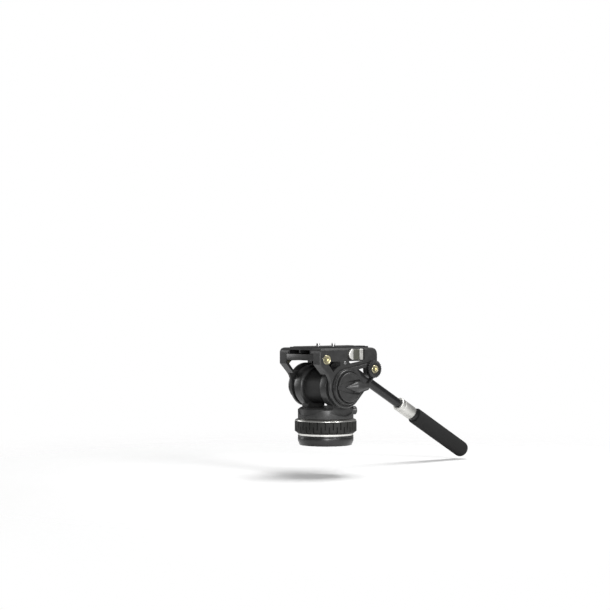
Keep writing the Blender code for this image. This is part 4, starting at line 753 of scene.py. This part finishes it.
# %% Piece: side covers, tilt lock and drag dial
for side, which in SIDES:
    ring = lathe([(9.3, 45.8), (24.7, 45.8), (24.5, 47.2), (23.6, 49.0), (22.4, 49.0), (22.2, 48.8), (22.2, 46.4),
                  (9.3, 46.4)], 144, 0.25, 3)
    finished(on_side(ring, side, *HUB), f"{which}_cover_ring", "cradle", castings, "black_paint",
             f"{which}_side_cover")

DIAL_R, DIAL_BACK = 20.5, 46.7
dial = lathe([(0, DIAL_BACK), (DIAL_R, DIAL_BACK), (DIAL_R, 51.4), (19.9, 52.0), (19.1, 52.0), (18.7, 51.6),
              (0, 51.6)], 144)
bed = bmesh.new()
for y, half_mouth, half_floor in ((-22.0, 2.8, 2.0), (-3.4, 9.4, 6.6), (14.0, 11.2, 8.4), (34.0, 11.2, 8.4)):
    for half, height in ((half_mouth, 52.3), (half_floor, 48.9)):
        for z in (-half, half):
            bmesh.ops.create_vert(bed, co=(y, z, height))
tail = slab([(8.0, -8.0, 0), (19.0, -8.0, 14), (35.98, -4.2, 4.1), (35.98, 4.2, 4.1), (19.0, 8.0, 14),
             (8.0, 8.0, 0)], 49.5, 51.2, 10)
ridge = bmesh.new()
for y, along, across, rise in ((-6.5, 0.4, 0.3, 0.6), (13.5, 8.0, 7.9, 6.6), (31.2, 4.5, 4.0, 4.8)):
    ball = Matrix.Translation((y, 0, 49.4)) @ Matrix.Diagonal((along, across, rise, 1))
    bmesh.ops.create_uvsphere(ridge, u_segments=48, v_segments=32, radius=1.0, matrix=ball)
ridge = carve(wrap(ridge), ("INTERSECT", block(-10, 40, -12, 12, 48.4, 60)))
finished(on_side(carve(dial, *cuts(wrap(bed)), ("UNION", tail), ("UNION", ridge)), 1, *HUB), "tilt_lock_lever",
         "tilt_lock", controls, "black_paint", "tilt_lock_lever", smooth=32.0)

dial = lathe([(0, DIAL_BACK), (9, DIAL_BACK), (9, 49.3), (DIAL_R, 49.3), (DIAL_R, 56.7), (19.2, 58.0),
              (15.5, 58.0), (14.8, 57.4), (0, 57.4)], 144, 0.3, 3)
bites = [rod(2.2, 50.6, 62, x, y, 32) for x, y in evenly(12, 21.6)]
finished(on_side(carve(dial, *cuts(*bites)), -1, *HUB), "tilt_drag_dial", "tilt_drag", controls, "black_paint",
         "tilt_drag_dial")

# %% [markdown]
# ## The platform and the plate
# The platform ties the cheeks together, and is hollow beneath to save weight. The quick release plate is an
# extrusion with dovetail flanks, so its end view is drawn once and pulled along the head.

# %% Piece: platform
top = soften(block(-28.7, 28.7, -47.7, 57.0, 118.6, 127.2), 0.4, 3)
order = cuts(block(-21.7, 21.7, -40.7, 50.0, 114.0, 123.6))
for side, _ in SIDES:
    lug = SCREW_Y[side] - 6, SCREW_Y[side] + 6
    order += [("UNION", side_block(side, 25.5, 28.4, *lug, 111.9, 119.6)),
              ("UNION", side_block(side, 25.5, 33.7, *lug, 111.9, 117.2)),
              *cuts(on_side(rod(1.8, 31.5, 38), side, SCREW_Y[side], SCREW_Z))]
finished(carve(top, *order), "camera_platform", "cradle", castings, "black_paint", "cradle_platform")

# %% [markdown]
# Half of the plate's end view is drawn, and a minus sign mirrors the other half. Its slot is wide below, for the
# screw heads, and narrow above, for their shanks, so two slabs with round ends are cut from it. Two shallow beds
# on top take the pads.

# %% Piece: quick release plate and its pads
half_view = [(1.4, 128.6, 0.3), (1.4, 132.8, 0.5), (21.5, 132.8, 0.5), (21.5, 127.5, 0.3), (25.2, 127.5, 0.3),
             (20.6, 135.5, 0.2), (20.6, 137.0, 0.4)]
full_view = half_view + [(-x, z, radius) for x, z, radius in reversed(half_view)]
plate = moved(slab(full_view, -61.5, 47.5, 3), FRONT_VIEW)
slot, channel = (
    slab([(-half, -27.5, radius), (half, -27.5, radius), (half, 31.5, radius), (-half, 31.5, radius)],
         120.0, top, 10)
    for half, radius, top in ((3.5, 3.45, 141.0), (8.3, 8.2, 132.7)))
beds = [side_block(side, 5.2, 18.5, -44.3, 58.3, 135.8, 141.0) for side, _ in SIDES]
finished(carve(plate, *cuts(slot, channel, *beds)), "camera_plate", "plate", plate_look, "black_paint",
         "quick_release_plate")
for side, which in SIDES:
    finished(soften(side_block(side, 5.5, 18.2, -44.0, 58.0, 136.1, 137.6), 0.35, 3), f"{which}_grip_pad", "plate",
             pad_rubber, "rubber", f"{which}_plate_pad")

# %% [markdown]
# Two camera screws stand in the slot, with slotted heads below and threads above. A thread is one small triangle,
# spun for several turns while it climbs. Spin does both at once, when each of its steps is given a rise. The thread
# is a closed shape of its own, laid into the screw, because a Boolean join of so fine a spiral is slow and may fail.

# %% Piece: camera screws
INCH = 25.4


def thread(radius, low, turns, pitch, depth=0.35):
    """A raised screw thread: one small triangle carried round and up."""
    bm = bmesh.new()
    corners = [(radius - depth, low - pitch * 0.42), (radius + depth, low), (radius - depth, low + pitch * 0.42)]
    points = [bmesh.ops.create_vert(bm, co=(r, 0, z))["vert"][0] for r, z in corners]
    edges = [bm.edges.new(pair) for pair in zip(points, points[1:] + points[:1])]
    steps = int(turns * 28)
    turned = bmesh.ops.spin(bm, geom=points + edges, cent=(0, 0, 0), axis=(0, 0, 1), angle=math.tau * turns,
                            steps=steps, dvec=(0, 0, pitch * turns / steps))["geom_last"]
    bmesh.ops.contextual_create(bm, geom=edges)
    bmesh.ops.contextual_create(bm, geom=[e for e in turned if isinstance(e, bmesh.types.BMEdge)])
    bmesh.ops.recalc_face_normals(bm, faces=bm.faces)
    return bm


def laid_in(bm, extra):
    """Put a second closed shape into the same piece."""
    mesh = bpy.data.meshes.new("extra")
    extra.to_mesh(mesh)
    extra.free()
    bm.from_mesh(mesh)
    bpy.data.meshes.remove(mesh)
    return bm


for which, y in (("front", -14.0), ("rear", 14.0)):
    screw = lathe([(0, 128.2), (7.7, 128.2), (8.0, 128.5), (8.0, 132.2), (7.7, 132.5), (2.75, 132.5), (2.75, 141.0),
                   (2.3, 141.5), (0, 141.5)], 72)
    screw = carve(screw, *cuts(block(-9, 9, -0.7, 0.7, 127.0, 129.4)))
    laid_in(screw, thread(2.75, 133.6, 5, INCH / 20))
    finished(moved(screw, Matrix.Translation((0, y, 0))), f"{which}_camera_screw", f"{which}_screw", steel_upright,
             "steel", f"{which}_camera_screw")

# %% [markdown]
# ## The plate's lock
# A folding silver lever in the left rail draws a jaw against the plate. It turns on an upright pin, and a finger
# finds it by its dark, grained pad. The grain is only a bump in the rubber's finish, since it is smaller than the
# edge of a fingernail.

# %% Piece: lock lever, pad, pin and jaw
PIN = (40.3, 29.6)
PIN_PLACE = Matrix.Translation((*PIN, 0))
arm = slab([(5.2, 119.1, 7.25), (29.6, 119.1, 0), (29.6, 133.7, 0), (5.2, 133.7, 7.25)], 38.2, 43.6, 12)
lifted_rim(arm, 0.7, 43.6, 4)
arm = carve(
    on_side(arm, 1),
    ("UNION", moved(lathe([(0, 118.95), (2.9, 118.95), (3.3, 119.35), (3.3, 133.45), (2.9, 133.85),
                           (0, 133.85)], 64), PIN_PLACE)),
    *cuts(on_side(block(12.7, 24.3, 118, 135, 42.6, 46), 1), rod(1.6, 110, 140, *PIN)),
)
lever_silver = turned_metal("lever_silver", silver, 0.48, (*PIN, 0), (0, 0, 0), ring=0.8, depth=0.002)
finished(arm, "plate_lock_lever", "plate_lock", lever_silver, "satin_silver", "lock_lever")
pad = soften(block(42.9, 44.3, 13.0, 24.0, 119.4, 133.4), 0.4, 3)
finished(pad, "plate_lock_pad", "plate_lock", lock_rubber, "rubber", "lock_lever_pad")
finished(moved(lathe([(0, 116.0), (1.6, 116.0), (1.9, 116.3), (1.9, 117.2), (1.3, 117.2), (1.3, 134.6),
                      (0, 134.6)], 48), PIN_PLACE), "plate_lock_pin", "cradle", steel_upright, "steel",
         "lock_lever_pin")
jaw = slab([(25.25, 127.8, 0.2), (28.5, 127.8, 0.3), (28.5, 133.2, 0.3), (22.25, 133.2, 0.2)], -42.0, -6.0)
jaw = carve(moved(jaw, FRONT_VIEW), ("UNION", on_side(rod(2.0, 28.0, 35.6), 1, PIN[1], 130.5)))
finished(jaw, "plate_jaw", "jaw", hidden_dark, "dark_anodised", "clamp_jaw")

# %% [markdown]
# ## The pan lock
# A small knurled knob on the rear left of the pan body jams the rotation. Its frame stands at 70 degrees round
# the upright axis, so it is spun upright and then turned to its place by one matrix.

# %% Piece: pan lock knob
turned = Matrix.Rotation(math.radians(70), 4, "Z") @ Matrix.Rotation(QUARTER, 4, "Y")
PAN_LOCK = Matrix.Translation((0, 0, 47.0)) @ turned
knob = lathe([(0, 39.1), (5.6, 39.1), (6.0, 39.5), (6.0, 44.4), (4.8, 45.6), (0, 45.6)], 96)
knob = press_grooves(knob, 24, 0.35, 0.0, lambda rib, z: 39.6 < z < 44.3)
finished(moved(knob, PAN_LOCK), "pan_lock_knob", "pan_lock", controls, "black_paint", "pan_lock_knob")

# %% [markdown]
# ## The handle
# A knuckle clamps to the right toothed joint and holds a straight rod that slopes down to the rear. The foam grip
# sits on a sleeve that slides along the rod, and a silver collar locks the sleeve. What lies along the rod is drawn
# upright in the rod's own frame, where a length along the rod is simply a height.

# %% Piece: knuckle, bolt and clamp knob
SLOPE = math.radians(29.4)
LIFT = 21.4
ROD_FOOT = (-58.0, JOINT[0] + LIFT * math.sin(SLOPE), JOINT[1] + LIFT * math.cos(SLOPE))
HANDLE = Matrix.Translation(ROD_FOOT) @ Matrix.Rotation(-QUARTER - SLOPE, 4, "X")
along_rod = (-QUARTER - SLOPE, 0.0, 0.0)
knuckle = hull([(*JOINT, JOINT_R), (66.6, 118.0, 2.6), (57.0, 123.6, 2.4)], 50.8, 65.2, 160)
soften(knuckle, 0.9, 3)
socket = lathe([(0, -4.0), (8.6, -4.0), (9.2, -3.4), (9.2, 31.4), (8.6, 32.0), (0, 32.0)], 96)
knuckle = carve(on_side(knuckle, -1), ("UNION", moved(socket, HANDLE)),
                *cuts(moved(rod(7.0, 0.0, 40.0), HANDLE), on_side(rod(4.1, 48, 70), -1, *JOINT),
                      on_side(rod(12.7, 48, 50.8), -1, *JOINT),
                      moved(block(-1.0, 1.0, 0.0, 14.0, 12.0, 40.0), HANDLE)))
finished(knuckle, "handle_knuckle", "handle", castings, "black_paint", "handle_clamp")
finished(on_side(lathe([(0, 45.0), (3.5, 45.0), (3.8, 45.3), (3.8, 65.2), (0, 65.2)], 48), -1, *JOINT),
         "handle_clamp_bolt", "handle", steel_across, "steel", "handle_clamp_bolt")
knob = lathe([(0, 65.5), (7.5, 65.5), (7.5, 69.3), (11.8, 69.3), (13.0, 70.6), (13.0, 80.6), (11.4, 82.5),
              (6.4, 82.5), (5.8, 81.9), (0, 81.9)], 120, 0.3, 3)
bites = [rod(5.0, 66.0, 90.0, x, y, 64) for x, y in evenly(6, 15.6, math.tau / 12)]
finished(on_side(carve(knob, *cuts(*bites)), -1, *JOINT), "handle_clamp_knob", "clamp_knob", controls,
         "black_paint", "handle_clamp_knob")

# %% [markdown]
# Each of these four is one turning, so its profile says everything. The grip's rounded end is a quarter circle of
# points, worked out in a short loop, and its pores come from the foam's finish.

# %% Piece: rod, collar, sleeve and grip
rod_look = anodised("rod_anodising", 26, 0.34, ROD_FOOT, along_rod)
sleeve_look = anodised("sleeve_anodising", 13, 0.46, ROD_FOOT, along_rod)
collar_silver = turned_metal("collar_silver", (0.64, 0.635, 0.61), 0.50, ROD_FOOT, along_rod, ring=0.5,
                             depth=0.0004)
finished(moved(lathe([(0, 0.3), (6.4, 0.3), (6.7, 0.6), (6.7, 244.6), (6.3, 245.0), (0, 245.0)], 96), HANDLE),
         "handle_tube", "handle", rod_look, "dark_anodised", "handle_rod")
finished(moved(lathe([(7.0, 157.0), (9.2, 157.0), (10.2, 158.0), (10.2, 164.4), (9.95, 164.7), (9.95, 165.2),
                      (10.2, 165.5), (10.2, 186.9), (9.6, 188.2), (8.7, 188.2), (8.7, 170.0), (7.0, 170.0)],
                     120, 0.15), HANDLE), "silver_collar", "collar", collar_silver, "satin_silver",
         "handle_collar")
finished(moved(lathe([(7.0, 170.3), (8.4, 170.3), (8.4, 188.5), (9.2, 188.5), (9.6, 188.9), (9.6, 311.0),
                      (7.0, 311.0)], 96), HANDLE), "grip_sleeve", "grip", sleeve_look, "black_paint",
         "handle_sleeve")
DOME_R, DOME_STEPS = 9.0, 12
angles = [QUARTER * i / DOME_STEPS for i in range(DOME_STEPS + 1)]
dome = [(3.2 + DOME_R * math.cos(angle), 310.0 + DOME_R * math.sin(angle)) for angle in angles]
foam = lathe([(0, 311.3), (9.9, 311.3), (9.9, 196.2), (11.0, 196.2), (11.8, 196.6), (12.2, 197.4), *dome,
              (0, 319.0)], 120)
finished(moved(foam, HANDLE), "foam_grip", "grip", handle_foam, "grip_foam", "handle_grip")

# %% [markdown]
# ## What sits underneath
# A threaded bush takes the bolt of whatever the head stands on, and three cap screws hold the spindle. The bush's
# thread points inwards, so its depth is a minus number.

# %% Piece: thread bush and base screws
bush = lathe([(4.76, 0.7), (5.2, 0.3), (7.7, 0.3), (8.0, 0.6), (8.0, 10.5), (4.76, 10.5)], 96)
finished(laid_in(bush, thread(4.95, 1.6, 5, INCH / 16, -0.3)), "base_bush", "base", steel_upright, "steel",
         "base_thread_bush")
for number, (x, y) in enumerate(BASE_SCREWS, 1):
    cap = lathe([(0, 0.6), (2.5, 0.6), (2.7, 0.8), (2.7, 3.2), (1.5, 3.2), (1.5, 11.2), (0, 11.2)], 48)
    cap = carve(cap, *cuts(hexagon_bar(2.5, 0.0, 2.0)))
    finished(moved(cap, Matrix.Translation((x, y, 0))), f"base_cap_screw_{number}", "base", steel_upright,
             "steel", f"base_screw_{number}")

# %% [markdown]
# ## Solids that stay as they are
# Axle, bearings, spring and the parts of the pan drag are plain turnings already, and mostly hidden. They keep
# their meshes and only get a finish.

# %% Finishes for the inner pieces
inner_plastic = moulded_rubber("inner_plastic", (150, 150, 145), gloss=0.45, depth=0.01)
for node, look in (
    ("counterbalance_spring", steel_across), ("pan_bearing", steel_upright), ("pan_drag_pack", inner_plastic),
    ("pan_lock_screw", steel_upright), ("pan_spindle", steel_upright), ("spindle_nut", steel_upright),
    ("tilt_fluid_cartridge", inner_plastic), ("tilt_shaft", steel_across), ("left_tilt_bearing", steel_across),
    ("right_tilt_bearing", steel_across),
):
    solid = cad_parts[node]
    if not solid.material_slots:
        solid.data.materials.append(look)
    for place in solid.material_slots:
        place.material = look
print("finished", sum(1 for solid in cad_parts.values() if not solid.hide_render), "kept solids")

# %% [markdown]
# ## Floor, light and camera
# A pale floor and a white surround, with broad soft lamps all round, suit a dark object: it is seen by the
# reflections along its edges. The floor fades out with the distance. The surround is pure white to the camera, by
# mixing on the Is Camera Ray output, and reflections see a share of that white, so that black paint stays black.
# The surfaces are lit by a dimmer grey.

# %% Stage: floor and surround
FLOOR_Z = -0.044
floor_shape = bmesh.new()
bmesh.ops.create_grid(floor_shape, x_segments=2, y_segments=2, size=6.0)
bmesh.ops.translate(floor_shape, verts=floor_shape.verts, vec=(0, 0, FLOOR_Z))
floor = as_object(floor_shape, "floor")
floor_look = Finish("floor_white", Specular_IOR_Level=0.2)
patch = floor_look.noise(floor_look.place(), 400.0, 2.0)
floor_look.set(Base_Color=floor_look.tint(patch, (0.93, 0.93, 0.93), (0.97, 0.97, 0.97)),
               Roughness=0.75 + patch * 0.1)
left_over = 1 - floor_look.ramp(floor_look.ring_distance(floor_look.place()), 260.0, 900.0)
floor_look.set(Alpha=left_over * left_over)
floor.data.materials.append(floor_look.material)

world = bpy.data.worlds.new("surround")
world.use_nodes = True
bpy.context.scene.world = world
tree = world.node_tree
tree.nodes.clear()
lit, seen = (tree.nodes.new("ShaderNodeBackground") for _ in range(2))
for surface, strength in ((lit, 0.05), (seen, 1.0)):
    surface.inputs["Color"].default_value = (1, 1, 1, 1)
    surface.inputs["Strength"].default_value = strength
rays = tree.nodes.new("ShaderNodeLightPath")
share = tree.nodes.new("ShaderNodeMath")
share.operation = "MULTIPLY_ADD"
share.inputs[1].default_value = 0.12
blend = tree.nodes.new("ShaderNodeMixShader")
out = tree.nodes.new("ShaderNodeOutputWorld")
for source, target in (
    (rays.outputs["Is Glossy Ray"], share.inputs[0]), (rays.outputs["Is Camera Ray"], share.inputs[2]),
    (share.outputs[0], blend.inputs[0]), (lit.outputs[0], blend.inputs[1]), (seen.outputs[0], blend.inputs[2]),
    (blend.outputs[0], out.inputs["Surface"]),
):
    tree.links.new(source, target)
print("the floor lies at", FLOOR_Z, "metres")

# %% [markdown]
# Seen from the camera, one lamp stands close beside it, one to the left, one to the right and one overhead, all
# aimed at the middle of the head. So each large face has a lamp of its own, and the edges between them show. The
# camera looks level from the head's front left, through a long lens that hardly bends the shapes.

# %% Stage: lamps and camera
def lamp(name, width, height, power, place, aim):
    """A soft light, so wide and so high, that looks at a point."""
    light = bpy.data.lights.new(name, "AREA")
    light.shape = "RECTANGLE"
    light.size = width
    light.size_y = height
    light.energy = power
    obj = bpy.data.objects.new(name, light)
    obj.location = place
    obj.rotation_euler = (Vector(aim) - Vector(place)).to_track_quat("-Z", "Y").to_euler()
    bpy.context.scene.collection.objects.link(obj)
    return obj


middle = (0.0, 0.06, 0.07)
lamps = [
    lamp("front", 0.75, 0.80, 30.0, (2.07, -1.40, 0.38), middle),
    lamp("side", 0.5, 0.8, 7.5, (-1.5, -0.6, 0.45), middle),
    lamp("right", 0.9, 0.8, 42.0, (2.3, 0.0, 0.85), middle),
    lamp("top", 0.8, 0.8, 20.0, (0.1, 0.3, 1.4), middle),
]

PICTURE_WIDTH, FOCAL_LENGTH = 610.0, 1665.0  # both in pixels of the picture
SENSOR_WIDTH = 36.0
lens = bpy.data.cameras.new("camera")
lens.sensor_width = SENSOR_WIDTH
lens.lens = FOCAL_LENGTH / PICTURE_WIDTH * SENSOR_WIDTH
camera = bpy.data.objects.new("camera", lens)
camera.location = (1.7492, -1.5319, 0.1948)
camera.rotation_euler = (QUARTER, 0.0, math.radians(49.5))
bpy.context.scene.collection.objects.link(camera)
bpy.context.scene.camera = camera
bpy.context.scene.view_settings.view_transform = "Standard"
print("the camera stands", round((camera.location - Vector(middle)).length, 3), "metres away")
